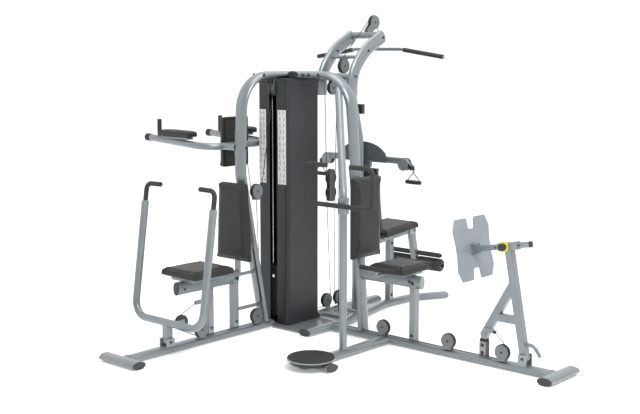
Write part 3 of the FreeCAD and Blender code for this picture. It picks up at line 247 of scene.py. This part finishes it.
# ---- mesh helpers --------------------------------------------------------------------------------


def piece(name, bm, mat, body, smooth=True):
    """Turns a bmesh into an object that rides on a body."""
    mesh = bpy.data.meshes.new(name)
    bmesh.ops.recalc_face_normals(bm, faces=bm.faces)
    bm.to_mesh(mesh)
    bm.free()
    mesh.materials.append(mat)
    mesh.polygons.foreach_set("use_smooth", [smooth] * len(mesh.polygons))
    obj = bpy.data.objects.new(name, mesh)
    bpy.context.scene.collection.objects.link(obj)
    if smooth:
        mesh.set_sharp_from_angle(angle=math.radians(38))
    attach(obj, body)
    return obj


def basis(centre, axis, side=None):
    """Matrix that puts +Z along axis at centre."""
    axis = Vector(axis).normalized()
    side = Vector(side) if side else (X if abs(axis.x) < 0.9 else Y)
    across = (side - axis * side.dot(axis)).normalized()
    turn = Matrix((across, axis.cross(across), axis)).transposed().to_4x4()
    return Matrix.Translation(Vector(centre)) @ turn


def lathe(bm, profile, centre, axis, segments=40):
    """Revolves (radius, height) points about axis; radius 0 closes an end."""
    place = basis(centre, axis)
    rings = []
    for radius, height in profile:
        if radius < 1e-7:
            rings.append([bm.verts.new(place @ Vector((0, 0, height)))])
            continue
        ring = []
        for step in range(segments):
            angle = 2 * math.pi * step / segments
            spot = Vector((radius * math.cos(angle), radius * math.sin(angle), height))
            ring.append(bm.verts.new(place @ spot))
        rings.append(ring)
    for low, high in zip(rings, rings[1:]):
        for step in range(segments):
            after = (step + 1) % segments
            corners = [low[step % len(low)], low[after % len(low)],
                       high[after % len(high)], high[step % len(high)]]
            unique = list(dict.fromkeys(corners))
            if len(unique) > 2:
                bm.faces.new(unique)


def soft_block(bm, low, high, bevel, place=None):
    """Box between two corners with rounded edges, optionally moved by a matrix."""
    low, high = Vector(low), Vector(high)
    made = bmesh.ops.create_cube(bm, size=1.0)["verts"]
    for vert in made:
        vert.co = Vector([a + (b - a) * (c + 0.5) for a, b, c in zip(low, high, vert.co)])
        if place is not None:
            vert.co = place @ vert.co
    edges = list(dict.fromkeys(edge for vert in made for edge in vert.link_edges))
    bmesh.ops.bevel(bm, geom=edges, offset=bevel, segments=3, profile=0.5, affect="EDGES")


def tube(name, points, radius, mat, body, closed=False):
    """Round wire curving along points."""
    curve = bpy.data.curves.new(name, "CURVE")
    curve.dimensions = "3D"
    curve.bevel_depth = radius
    curve.bevel_resolution = 4
    curve.use_fill_caps = True
    spline = curve.splines.new("NURBS")
    spline.points.add(len(points) - 1)
    for target, point in zip(spline.points, points):
        target.co = (*point, 1)
    spline.order_u = 3
    spline.use_endpoint_u = not closed
    spline.use_cyclic_u = closed
    curve.materials.append(mat)
    obj = bpy.data.objects.new(name, curve)
    bpy.context.scene.collection.objects.link(obj)
    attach(obj, body)
    return obj


# ---- cushions ------------------------------------------------------------------------------------

LEAN, TILT = math.radians(7), math.radians(5)
CUSHIONS = {
    "front_seat_pad": Z,
    "front_back_pad": -Y,
    "side_seat_pad": Z,
    "side_back_pad": X,
    "knee_raise_back_pad": -X,
    "knee_raise_arm_pads": Z,
    "rear_seat_pad": Vector((0, -math.sin(TILT), math.cos(TILT))),
    "rear_back_pad": Vector((0, math.cos(LEAN), math.sin(LEAN))),
}
SLACK, CAP = 0.004, 0.010    # pulled in before the simulation, furthest it may swell
VOXEL = 0.006
BOARD_DEPTH = 0.012          # pinned to the board up to here
LAST_FRAME = 20
SEAM_INSET, BOARD_INSET = 0.017, 0.024
STITCH_PITCH = 0.0075
GROOVE_DEPTH, GROOVE_WIDTH, GROOVE_REACH = 0.0022, 0.0045, 0.009


def start_cushion(node, face):
    """Remeshed, slightly shrunk copy of a CAD pad with its board side pinned, ready to swell."""
    obj = bpy.data.objects.new(node + "_cushion", NODES[node].data.copy())
    bpy.context.scene.collection.objects.link(obj)
    remesh = obj.modifiers.new("remesh", "REMESH")
    remesh.mode = "VOXEL"
    remesh.voxel_size = VOXEL
    graph = bpy.context.evaluated_depsgraph_get()
    mesh = bpy.data.meshes.new_from_object(obj.evaluated_get(graph))
    obj.modifiers.clear()
    obj.data = mesh
    board = min(vert.co.dot(face) for vert in mesh.vertices)
    pinned = [vert.index for vert in mesh.vertices if vert.co.dot(face) - board < BOARD_DEPTH]
    moves = [vert.co - vert.normal * SLACK for vert in mesh.vertices]
    for vert, target in zip(mesh.vertices, moves):
        vert.co = target
    group = obj.vertex_groups.new(name="board")
    group.add(pinned, 1.0, "REPLACE")
    cloth = obj.modifiers.new("swell", "CLOTH")
    cloth.settings.use_pressure = True
    cloth.settings.uniform_pressure_force = 4.0
    cloth.settings.effector_weights.gravity = 0.0
    cloth.settings.tension_stiffness = 18.0
    cloth.settings.compression_stiffness = 18.0
    cloth.settings.bending_stiffness = 2.0
    cloth.settings.vertex_group_mass = "board"
    cloth.point_cache.frame_start = 1
    cloth.point_cache.frame_end = LAST_FRAME
    return obj


def swell(cushions):
    """Steps the simulation once for all cushions and keeps the capped result."""
    scene = bpy.context.scene
    for step in range(1, LAST_FRAME + 1):
        scene.frame_set(step)
    graph = bpy.context.evaluated_depsgraph_get()
    for obj in cushions:
        swollen = [vert.co.copy() for vert in obj.evaluated_get(graph).data.vertices]
        obj.modifiers.clear()
        for vert, target in zip(obj.data.vertices, swollen):
            move = target - vert.co
            vert.co += move * min(1.0, CAP / max(move.length, 1e-9))
    scene.frame_set(1)


def islands(node):
    """Vertex positions of each separate solid of a CAD node."""
    bm = bmesh.new()
    bm.from_mesh(NODES[node].data)
    bmesh.ops.remove_doubles(bm, verts=bm.verts, dist=1e-6)
    left, found = set(bm.verts), []
    for seed in bm.verts:
        if seed not in left:
            continue
        left.remove(seed)
        queue, members = [seed], []
        while queue:
            vert = queue.pop()
            members.append(vert.co.copy())
            for edge in vert.link_edges:
                other = edge.other_vert(vert)
                if other in left:
                    left.remove(other)
                    queue.append(other)
        found.append(members)
    bm.free()
    return found


def outline(points, face):
    """Convex outline of a pad seen along its face, as even steps round the edge, and its flat axes."""
    side = (Y if abs(face.y) < 0.7 else X).cross(face).normalized()
    up = face.cross(side).normalized()
    flat = sorted({(round(p.dot(side), 5), round(p.dot(up), 5)) for p in points})

    def half(sequence):
        chain = []
        for p in sequence:
            while len(chain) > 1 and ((chain[-1][0] - chain[-2][0]) * (p[1] - chain[-2][1])
                                      - (chain[-1][1] - chain[-2][1]) * (p[0] - chain[-2][0])) <= 0:
                chain.pop()
            chain.append(p)
        return chain[:-1]

    hull = [Vector(p) for p in half(flat) + half(flat[::-1])]
    lengths = [(b - a).length for a, b in zip(hull, hull[1:] + hull[:1])]
    total = sum(lengths)
    count = int(total / STITCH_PITCH)
    steps, edge, walked = [], 0, 0.0
    for number in range(count):
        reach = total * number / count
        while walked + lengths[edge] < reach:
            walked += lengths[edge]
            edge += 1
        a, b = hull[edge], hull[(edge + 1) % len(hull)]
        steps.append(a.lerp(b, (reach - walked) / max(lengths[edge], 1e-9)))
    return steps, side, up


def seam_points(points, face, inset):
    """The outline moved in by inset, in space, on the pad's outer face plane."""
    steps, side, up = outline(points, face)
    centre = sum(steps, Vector((0, 0))) / len(steps)
    half_u = max(abs(p.x - centre.x) for p in steps)
    half_v = max(abs(p.y - centre.y) for p in steps)
    top = max(p.dot(face) for p in points)
    path = []
    for p in steps:
        q = Vector((centre.x + (p.x - centre.x) * (1 - inset / half_u),
                    centre.y + (p.y - centre.y) * (1 - inset / half_v)))
        path.append(side * q.x + up * q.y + face * top)
    return path


def stitch(bm, place):
    """One rounded stitch, 5 mm long, along the matrix's +Z."""
    rings = []
    for radius, height in ((0.0003, -0.0026), (0.0007, -0.0019), (0.0007, 0.0019), (0.0003, 0.0026)):
        ring = []
        for x, y in ((1, 0), (0.5, 0.866), (-0.5, 0.866), (-1, 0), (-0.5, -0.866), (0.5, -0.866)):
            ring.append(bm.verts.new(place @ Vector((x * radius, y * radius, height))))
        rings.append(ring)
    for low, high in zip(rings, rings[1:]):
        for number in range(6):
            after = (number + 1) % 6
            bm.faces.new((low[number], low[after], high[after], high[number]))
    bm.faces.new(rings[0][::-1])
    bm.faces.new(rings[-1])


def sew(obj, node, face):
    """Presses a seam round each pad, then stitches it and closes its board side with a backing panel."""
    mesh = obj.data
    tree = BVHTree.FromPolygons([v.co for v in mesh.vertices], [p.vertices for p in mesh.polygons])
    stitches, backing = bmesh.new(), bmesh.new()
    groove = {}
    for points in islands(node):
        path = []
        for point in seam_points(points, face, SEAM_INSET):
            hit = tree.ray_cast(point + face * 0.04, -face)
            path.append((hit[0], hit[1]))
        for (start, normal), (end, _) in zip(path, path[1:] + path[:1]):
            along = (end - start).normalized()
            middle = start.lerp(end, 0.5) + normal * 0.0002
            stitch(stitches, basis(middle, along, normal))
        for spot, _ in path:
            for found in tree.find_nearest_range(spot, GROOVE_REACH):
                for index in mesh.polygons[found[2]].vertices:
                    gap = (mesh.vertices[index].co - spot).length
                    groove[index] = min(groove.get(index, 1.0), gap)
        bottom = min(p.dot(face) for p in points)
        top = max(p.dot(face) for p in points)
        rim = [p - face * (top - bottom - 0.0015) for p in seam_points(points, face, BOARD_INSET)]
        low = [backing.verts.new(p - face * 0.003) for p in rim]
        high = [backing.verts.new(p) for p in rim]
        backing.faces.new(low)
        backing.faces.new(high[::-1])
        for number in range(len(rim)):
            after = (number + 1) % len(rim)
            backing.faces.new((low[number], low[after], high[after], high[number]))
    normals = [v.normal.copy() for v in mesh.vertices]
    for index, gap in groove.items():
        mesh.vertices[index].co -= normals[index] * GROOVE_DEPTH * math.exp(-(gap / GROOVE_WIDTH) ** 2)
    for name, bm, mat in (("stitching", stitches, THREAD), ("backing", backing, BACKING)):
        extra = piece("%s_%s" % (node, name), bm, mat, "frame")
        extra.parent = obj
        extra.matrix_parent_inverse = Matrix.Identity(4)


def wrinkle(obj, face):
    """Slight unevenness of stuffed vinyl, strongest on the outer face."""
    for vert in obj.data.vertices:
        lift = noise.fractal(vert.co * 9.0, 1.0, 2.0, 3) * 0.0012
        vert.co += vert.normal * lift * max(0.15, vert.normal.dot(face))


cushions = {}
for node, face in CUSHIONS.items():
    cushions[node] = start_cushion(node, face)
swell(cushions.values())
for node, obj in cushions.items():
    obj.modifiers.clear()
    sew(obj, node, CUSHIONS[node])
    wrinkle(obj, CUSHIONS[node])
    smooth = obj.modifiers.new("smooth", "SUBSURF")
    smooth.levels = 1
    smooth.render_levels = 1
    obj.data.materials.clear()
    obj.data.materials.append(VINYL)
    obj.data.polygons.foreach_set("use_smooth", [True] * len(obj.data.polygons))
    obj.data.polygons.foreach_set("material_index", [0] * len(obj.data.polygons))
    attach(obj, "frame")
    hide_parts(node)

# ---- foam rollers, twister disc, handles ---------------------------------------------------------

for sign in (-1, 1):
    start = Vector((STATION_X + sign * 0.0345, ROLLER_Y, ROLLER_Z))
    roller = bmesh.new()
    profile = [(0.0125, 0.0), (0.040, 0.0), (0.0475, 0.0015), (0.0512, 0.007)]
    profile += [(0.0512 + 0.0006 * math.sin(math.pi * step / 12), 0.007 + 0.200 * step / 12)
                for step in range(1, 12)]
    profile += [(0.0512, 0.207), (0.0475, 0.2125), (0.040, 0.2140), (0.0125, 0.2140)]
    lathe(roller, profile, start, X * sign, 64)
    side_name = "right" if sign > 0 else "left"
    foam = piece("roller_foam_" + side_name, roller, FOAM, "rollers")
    if sign > 0:
        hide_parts("leg_rollers")
    for label, radius, z, y in (("roller", 0.034, ROLLER_Z, ROLLER_Y), ("foot", 0.0185, ANKLE_Z, ANKLE_Y)):
        cap = bmesh.new()
        end = Vector((STATION_X + sign * 0.2495, y, z))
        lathe(cap, [(0, 0.0), (radius, 0.0), (radius, 0.003), (radius - 0.003, 0.0055), (0.014, 0.0065),
                    (0.012, 0.0125), (0, 0.0125)], end, X * sign, 48)
        body = "rollers" if label == "roller" else "leg_extension"
        piece("%s_cap_%s" % (label, side_name), cap, PLASTIC, body)

disc_low, disc_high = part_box("twister_disc")
disc_centre = Vector(((disc_low.x + disc_high.x) / 2, (disc_low.y + disc_high.y) / 2, disc_low.z))
top = bmesh.new()
steps = [(0.146, 0.0), (0.1495, 0.003), (0.1495, 0.0155), (0.147, 0.0185), (0.140, 0.0190)]
for ring in range(9):
    radius = 0.136 - ring * 0.0135
    steps += [(radius, 0.0192), (radius - 0.0015, 0.0208)]
    steps += [(radius - 0.0055, 0.0208), (radius - 0.007, 0.0192)]
steps += [(0.012, 0.0192), (0, 0.0192)]
lathe(top, [(0, 0.0)] + steps, disc_centre, Z, 96)
tread = piece("twister_tread", top, RUBBER, "twister")
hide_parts("twister_disc")
rim = bmesh.new()
lathe(rim, [(0.1497, 0.004), (0.1548, 0.0045), (0.1550, 0.0085), (0.1548, 0.0125), (0.1497, 0.013)],
      disc_centre, Z, 96)
piece("twister_rim", rim, PAINT, "twister")
bearing = bmesh.new()
lathe(bearing, [(0, 0.0), (0.128, 0.0), (0.136, -0.0035), (0.136, -0.020), (0.128, -0.0235), (0, -0.0235)],
      disc_centre - Z * 0.0006, Z, 72)
piece("twister_bearing", bearing, PLASTIC, "frame")

for side, sign in (("left", -1), ("right", 1)):
    hook = Vector((STATION_X + sign * 0.448, ARM_Y, 1.114))
    body = side + "_handle"
    ring = bmesh.new()
    lathe(ring, [(0, -0.006), (0.0065, -0.006), (0.0072, 0.0), (0.0065, 0.006), (0, 0.006)], hook, Y, 32)
    ends = piece("handle_ring_" + side, ring, ZINC, body)
    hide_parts("cable_handle_" + side)
    half, drop = 0.066, 0.078
    for label, out in (("handle_strap_", -1), ("handle_strap_far_", 1)):
        corner = hook + Vector((out * half, 0, -drop))
        route = [hook + Z * 0.004, hook - Z * 0.012, corner.lerp(hook, 0.45) - X * out * 0.002,
                 corner - X * out * 0.003, corner]
        tube(label + side, route, 0.0032, WEB, body)
    grip = bmesh.new()
    rows = [(0, -half), (0.010, -half), (0.0145, -half + 0.003)]
    for step in range(13):
        bulge = 0.0142 + 0.0014 * math.sin(math.pi * step / 12) - (0.0006 if step % 2 else 0.0)
        rows.append((bulge, -half + 0.006 + (2 * half - 0.012) * step / 12))
    rows += [(0.0145, half - 0.003), (0.010, half), (0, half)]
    lathe(grip, rows, hook - Z * drop, X, 40)
    piece("handle_grip_" + side, grip, FOAM, body)

# ---- tower charts and trim -----------------------------------------------------------------------


def flat_patch(bm, points):
    """One flat face through the points."""
    bm.faces.new([bm.verts.new(point) for point in points])


def strip(bm, start, end, half, plane_y):
    """Flat bar between two (x, z) points on the tower's front."""
    start, end = Vector(start), Vector(end)
    across = Vector((-(end - start).y, (end - start).x)).normalized() * half
    corners = [start - across, end - across, end + across, start + across]
    flat_patch(bm, [Vector((c.x, plane_y, c.y)) for c in corners])


def disc(bm, centre, radius, plane_y):
    """Flat twelve sided disc about an (x, z) point on the tower's front."""
    corners = [(centre[0] + radius * math.cos(number * math.pi / 6),
                centre[1] + radius * math.sin(number * math.pi / 6)) for number in range(12)]
    flat_patch(bm, [Vector((x, plane_y, z)) for x, z in corners])


def stick_figure(bm, accent, x, z, size, plane_y):
    """Small generic exercising figure with a seat or a bar."""
    lean = rng.uniform(-0.35, 0.35)
    hip = Vector((x + rng.uniform(-0.08, 0.08) * size, z - 0.12 * size))
    neck = hip + Vector((math.sin(lean), math.cos(lean))) * 0.34 * size
    disc(bm, neck + Vector((math.sin(lean), math.cos(lean))) * 0.11 * size, 0.095 * size, plane_y)
    strip(bm, hip, neck, 0.065 * size, plane_y)
    side = rng.choice((-1, 1))
    knee = hip + Vector((side * 0.2, rng.uniform(-0.12, 0.02))) * size
    strip(bm, hip, knee, 0.05 * size, plane_y)
    foot = knee + Vector((side * rng.uniform(-0.08, 0.14), -0.24)) * size
    strip(bm, knee, foot, 0.045 * size, plane_y)
    elbow = neck + Vector((side * 0.17, rng.uniform(-0.16, 0.1))) * size
    strip(bm, neck, elbow, 0.038 * size, plane_y)
    hand = elbow + Vector((side * 0.1, rng.uniform(0.02, 0.16))) * size
    strip(bm, elbow, hand, 0.036 * size, plane_y)
    seat_back = hip + Vector((-side * 0.16, -0.1)) * size
    seat_front = hip + Vector((side * 0.12, -0.1)) * size
    strip(accent, seat_back, seat_front, 0.035 * size, plane_y)
    post = hip.x - side * 0.17 * size
    strip(accent, (post, hip.y - 0.3 * size), (post, hip.y + 0.3 * size), 0.022 * size, plane_y)


CHART_LOW, CHART_HIGH, CHART_ROWS = 1.035, 1.565, 12
FIGURE_SIZE = 0.033
front_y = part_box("tower_cover_left")[0].y
for label, left, right in (("left", -0.133, -0.064), ("right", 0.052, 0.131)):
    board, ink, accent = bmesh.new(), bmesh.new(), bmesh.new()
    soft_block(board, (left, front_y - 0.0016, CHART_LOW), (right, front_y - 0.0002, CHART_HIGH), 0.0006)
    face_y = front_y - 0.0019
    pitch = (CHART_HIGH - CHART_LOW) / CHART_ROWS
    middle = (left + right) / 2
    for row in range(CHART_ROWS):
        z = CHART_HIGH - (row + 0.5) * pitch
        rule_z = z - pitch / 2 + 0.0012
        strip(ink, (left + 0.006, rule_z), (right - 0.006, rule_z), 0.0005, face_y)
        for x in ((left + middle) / 2 + 0.002, (right + middle) / 2 - 0.002):
            stick_figure(ink, accent, x, z + 0.001, FIGURE_SIZE, face_y)
    piece("chart_board_" + label, board, CARD, "frame")
    piece("chart_figures_" + label, ink, INK, "frame", smooth=False)
    piece("chart_equipment_" + label, accent, ACCENT, "frame", smooth=False)

slot_trim = bmesh.new()
for y, out in ((-0.168, -1), (0.168, 1)):
    for x, inward in ((-0.030, -1), (0.040, 1)):
        low_x, high_x = sorted((x, x + inward * 0.006))
        low_y, high_y = sorted((y + out * 0.0014, y - out * 0.0042))
        soft_block(slot_trim, (low_x, low_y, 0.020), (high_x, high_y, 1.700), 0.0012)
piece("tower_slot_trim", slot_trim, PLASTIC, "frame")
lid = bmesh.new()
for left, right in ((-0.1465, -0.030), (0.040, 0.1465)):
    soft_block(lid, (left, -0.1695, 1.752), (right, 0.1695, 1.7862), 0.005)
piece("tower_top_trim", lid, COVER, "frame")
inner = bmesh.new()
soft_block(inner, (-0.139, -0.004, 0.016), (0.139, 0.004, 1.766), 0.002)
piece("tower_divider", inner, PLASTIC, "frame")

# ---- bolts, welds and small fittings -------------------------------------------------------------


def bolt(bm, point, direction, size=0.009):
    """Domed washer with a chamfered hexagon head."""
    washer = [(0, 0.0), (size * 1.35, 0.0), (size * 1.35, 0.0012), (size * 1.1, 0.002), (0, 0.002)]
    head = [(0, 0.0018), (size, 0.0018), (size, size * 0.55), (size * 0.86, size * 0.72), (0, size * 0.72)]
    lathe(bm, washer, point, direction, 24)
    lathe(bm, head, point, direction, 6)


def weld(bm, centre, normal, side, half_long, half_wide, power=2.0):
    """Rippled bead round a joint; half_long lies along side."""
    place = basis(centre, normal, side)
    count = max(48, int((half_long + half_wide) * 900))
    rings = []
    for step in range(count):
        angle = 2 * math.pi * step / count
        c, s = math.cos(angle), math.sin(angle)
        scale = (abs(c) ** power + abs(s) ** power) ** (-1 / power)
        heart = Vector((half_long * c * scale, half_wide * s * scale, 0))
        outward = Vector((heart.x, heart.y, 0)).normalized()
        radius = 0.0026 * (1 + 0.22 * math.sin(step * 1.9) + 0.08 * math.sin(step * 0.61))
        ring = []
        for spoke in range(8):
            turn = 2 * math.pi * spoke / 8
            spot = heart + outward * radius * math.cos(turn) + Vector((0, 0, radius * math.sin(turn)))
            ring.append(bm.verts.new(place @ spot))
        rings.append(ring)
    for low, high in zip(rings, rings[1:] + rings[:1]):
        for spoke in range(8):
            after = (spoke + 1) % 8
            bm.faces.new((low[spoke], high[spoke], high[after], low[after]))


bolts = bmesh.new()
for point, direction in (
        ((-0.025, -0.805, 0.10), -X), ((-0.025, -0.567, 0.10), -X), ((0.030, -0.560, 0.408), X),
        ((1.147, -0.025, 0.445), -Y), ((1.147, 0.025, 0.445), Y), ((1.147, -0.025, 0.085), -Y),
        ((0.240, -0.050, 1.812), -Y), ((0.330, -0.050, 1.812), -Y), ((0.240, 0.050, 1.812), Y),
        ((-0.050, -0.300, 1.812), -X), ((0.050, -0.300, 1.812), X),
        ((0.050, -0.478, 1.314), X), ((-0.010, -0.478, 1.289), -Z),
        ((0.290, 0.860, 0.500), X), ((0.290, 0.860, 0.090), X), ((0.240, 0.860, 0.500), -X),
        ((1.681, 0.000, 0.100), -X), ((1.706, -0.025, 0.125), -Y), ((1.706, -0.025, 0.075), -Y),
        ((0.967, -0.480, 0.995), X), ((0.893, -0.480, 0.995), -X),
        ((0.300, 0.523, 1.152), Y), ((0.230, 0.523, 1.152), Y), ((0.265, 0.523, 1.140), Y)):
    bolt(bolts, point, direction)
piece("frame_bolt_heads", bolts, BLACK_BOLT, "frame")

welds = bmesh.new()
for centre, normal, side, half_long, half_wide, power in (
        ((0, -0.805, 0.0505), Z, X, 0.0265, 0.0265, 6), ((0, -0.567, 0.0505), Z, X, 0.0265, 0.0265, 6),
        ((1.147, 0, 0.0505), Z, X, 0.0265, 0.0265, 6), ((1.147, 0, 0.412), Z, X, 0.0265, 0.0265, 6),
        ((0, -0.805, 0.374), Z, X, 0.0265, 0.0265, 6), ((0, -0.567, 0.374), Z, X, 0.0265, 0.0265, 6),
        ((0, -0.2725, 0.0505), Z, X, 0.051, 0.026, 2), ((0.7075, 0, 0.0505), Z, Y, 0.051, 0.026, 2),
        ((0.930, -0.480, 0.0505), Z, X, 0.026, 0.026, 2), ((0.265, 0.470, 0.0505), Z, X, 0.051, 0.026, 2),
        ((0.265, 0.860, 0.0505), Z, X, 0.0265, 0.0265, 6), ((1.706, 0, 0.0505), Z, X, 0.0265, 0.0265, 6),
        ((0.930, -0.480, 0.9445), Z, X, 0.028, 0.028, 2), ((0.930, -0.480, 1.0455), Z, X, 0.028, 0.028, 2),
        ((0, -1.5055, 0.025), Y, X, 0.051, 0.026, 2), ((2.1905, 0, 0.025), X, Y, 0.051, 0.026, 2),
        ((-0.0505, -0.478, 1.314), X, Y, 0.026, 0.026, 2)):
    weld(welds, centre, normal, side, half_long, half_wide, power)
piece("frame_weld_beads", welds, PAINT, "frame")

bumpers = bmesh.new()
soft_block(bumpers, (1.683, -0.0215, 0.1482), (1.729, 0.0215, 0.1660), 0.004)
piece("leg_press_bumper", bumpers, RUBBER, "frame")

post_line = Vector((-0.133, 0, 0.690)).normalized()
sleeve_line = Vector((post_line.z, 0, -post_line.x))
post_top = Vector((1.871, 0, 0.782))
knob_point = post_top - sleeve_line * 0.022
ring = bmesh.new()
lathe(ring, [(0.0075, 0.0), (0.0325, 0.0), (0.0345, 0.002), (0.0345, 0.0065), (0.0315, 0.0082),
             (0.0075, 0.0082)], knob_point - Y * 0.0262, -Y, 64)
piece("adjuster_ring", ring, YELLOW, "adjuster")
knob = bmesh.new()
lathe(knob, [(0, 0.0), (0.011, 0.0), (0.0128, 0.002)]
      + [(0.0238 if step % 2 else 0.0228, 0.004 + step * 0.0024) for step in range(9)]
      + [(0.0215, 0.0262), (0.0150, 0.0288), (0, 0.0292)], knob_point - Y * 0.0345, -Y, 48)
piece("adjuster_knob_grip", knob, PLASTIC, "adjuster")
end_cap = bmesh.new()
tip = post_top + sleeve_line * 0.150
soft_block(end_cap, (-0.0192, -0.0192, 0.0), (0.0192, 0.0192, 0.010), 0.003, basis(tip, sleeve_line, Y))
piece("plate_bar_end_cap", end_cap, PLASTIC, "foot_plate_carriage")
for side, sign in (("left", -1), ("right", 1)):
    centre = Vector((STATION_X + sign * 0.172, 0.558, 1.2095))
    pop = bmesh.new()
    lathe(pop, [(0.008, 0.0), (0.0165, 0.0), (0.0172, 0.0015), (0.0172, 0.0045), (0.008, 0.0055)],
          centre, Z, 40)
    piece("pop_pin_ring_" + side, pop, YELLOW, side + "_cable_arm")
    ball = bmesh.new()
    stop = Vector((STATION_X + sign * 0.448, ARM_Y, 1.131))
    lathe(ball, [(0, -0.009), (0.006, -0.0085), (0.0095, -0.004), (0.0105, 0.0), (0.0095, 0.004),
                 (0.006, 0.0085), (0, 0.009)], stop, Z, 32)
    piece("cable_ball_" + side, ball, RUBBER, side + "_cable_arm")

anchor_nut = bmesh.new()
lathe(anchor_nut, [(0, -0.004), (0.0095, -0.004), (0.0125, -0.001), (0.0125, 0.009), (0.009, 0.012),
                   (0, 0.012)], (1.7965, -0.028, 0.229), (0.55, 0, -0.84), 12)
piece("leg_cable_anchor_nut", anchor_nut, BLACK_BOLT, "leg_press")

plate_bolts = bmesh.new()
plate_face = post_top - sleeve_line * 0.2355
for across, up in ((-0.020, 0.023), (0.020, 0.023), (-0.020, -0.023), (0.020, -0.023)):
    bolt(plate_bolts, plate_face + Y * across + post_line * up, sleeve_line, 0.005)
piece("foot_plate_bolts", plate_bolts, BLACK_BOLT, "foot_plate_carriage")

hook_low, hook_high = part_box("lat_bar")
hook_y = (hook_low.y + hook_high.y) / 2
snap = []
for step in range(12):
    angle = 2 * math.pi * step / 12
    snap.append((STATION_X + 0.013 * math.cos(angle), hook_y, 2.026 + 0.026 * math.sin(angle)))
tube("lat_bar_snap_hook", snap, 0.0032, ZINC, "lat_bar", closed=True)

# ---- floor, light and camera ---------------------------------------------------------------------

FLOOR_HALF = 150.0
FLOOR_DROP = 0.0006
floor_mesh = bmesh.new()
bmesh.ops.create_grid(floor_mesh, x_segments=2, y_segments=2, size=FLOOR_HALF)
floor = bpy.data.meshes.new("floor")
floor_mesh.to_mesh(floor)
floor_mesh.free()
floor_object = bpy.data.objects.new("floor", floor)
floor_object.location = (0, 0, -FLOOR_DROP)
bpy.context.scene.collection.objects.link(floor_object)
floor.materials.append(material("pale_floor", (0.92, 0.92, 0.92), (0.94, 0.94, 0.94), (0.5, 0.6), patch=0.6,
                                grain_scale=60, bump=0.02, depth=0.0002, specular=0.2))
floor_shader = floor.materials[0].node_tree.nodes["Principled BSDF"]
floor_shader.inputs["Emission Color"].default_value = (1.0, 1.0, 1.0, 1)
floor_shader.inputs["Emission Strength"].default_value = 0.22

# White backdrop, bright beyond the object and dimmer on the near side.
world = bpy.data.worlds.new("studio")
world.use_nodes = True
studio = world.node_tree.nodes
sky_links = world.node_tree.links
sky = studio.new("ShaderNodeTexCoord")
toward = studio.new("ShaderNodeVectorMath")
toward.operation = "DOT_PRODUCT"
toward.inputs[1].default_value = (0.45, -0.89, 0.0)
sky_links.new(sky.outputs["Generated"], toward.inputs[0])
shade = studio.new("ShaderNodeMapRange")
shade.inputs["From Min"].default_value = -0.15
shade.inputs["From Max"].default_value = 0.75
shade.inputs["To Min"].default_value = 1.08
shade.inputs["To Max"].default_value = 0.58
sky_links.new(toward.outputs["Value"], shade.inputs["Value"])
sky_links.new(shade.outputs["Result"], studio["Background"].inputs["Strength"])
studio["Background"].inputs["Color"].default_value = (1.0, 1.0, 1.0, 1)
bpy.context.scene.world = world
bpy.context.scene.view_settings.view_transform = "Standard"


def area_light(name, place, target, size, power):
    """Square lamp at place, facing target."""
    data = bpy.data.lights.new(name, "AREA")
    data.shape = "SQUARE"
    data.size = size
    data.energy = power
    lamp = bpy.data.objects.new(name, data)
    lamp.location = place
    lamp.rotation_euler = (Vector(target) - Vector(place)).to_track_quat("-Z", "Y").to_euler()
    bpy.context.scene.collection.objects.link(lamp)


area_light("key", (4.5, -1.5, 5.5), (0.5, -0.2, 0.8), 3.0, 260)
area_light("fill", (-3.5, -5.0, 3.5), (0.2, -0.4, 0.9), 4.0, 30)
area_light("top", (0.5, 0.5, 6.5), (0.5, 0.0, 0.0), 4.0, 130)

SENSOR = 36
IMAGE_WIDTH = 640
FOCAL_PIXELS = 1085
camera_data = bpy.data.cameras.new("camera")
camera_data.sensor_width = SENSOR
camera_data.lens = FOCAL_PIXELS * SENSOR / IMAGE_WIDTH
camera = bpy.data.objects.new("camera", camera_data)
camera.location = (5.388, -5.727, 1.98)
camera.rotation_euler = (math.radians(90 - 8.2), 0, math.radians(41.6))
bpy.context.scene.collection.objects.link(camera)
bpy.context.scene.camera = camera
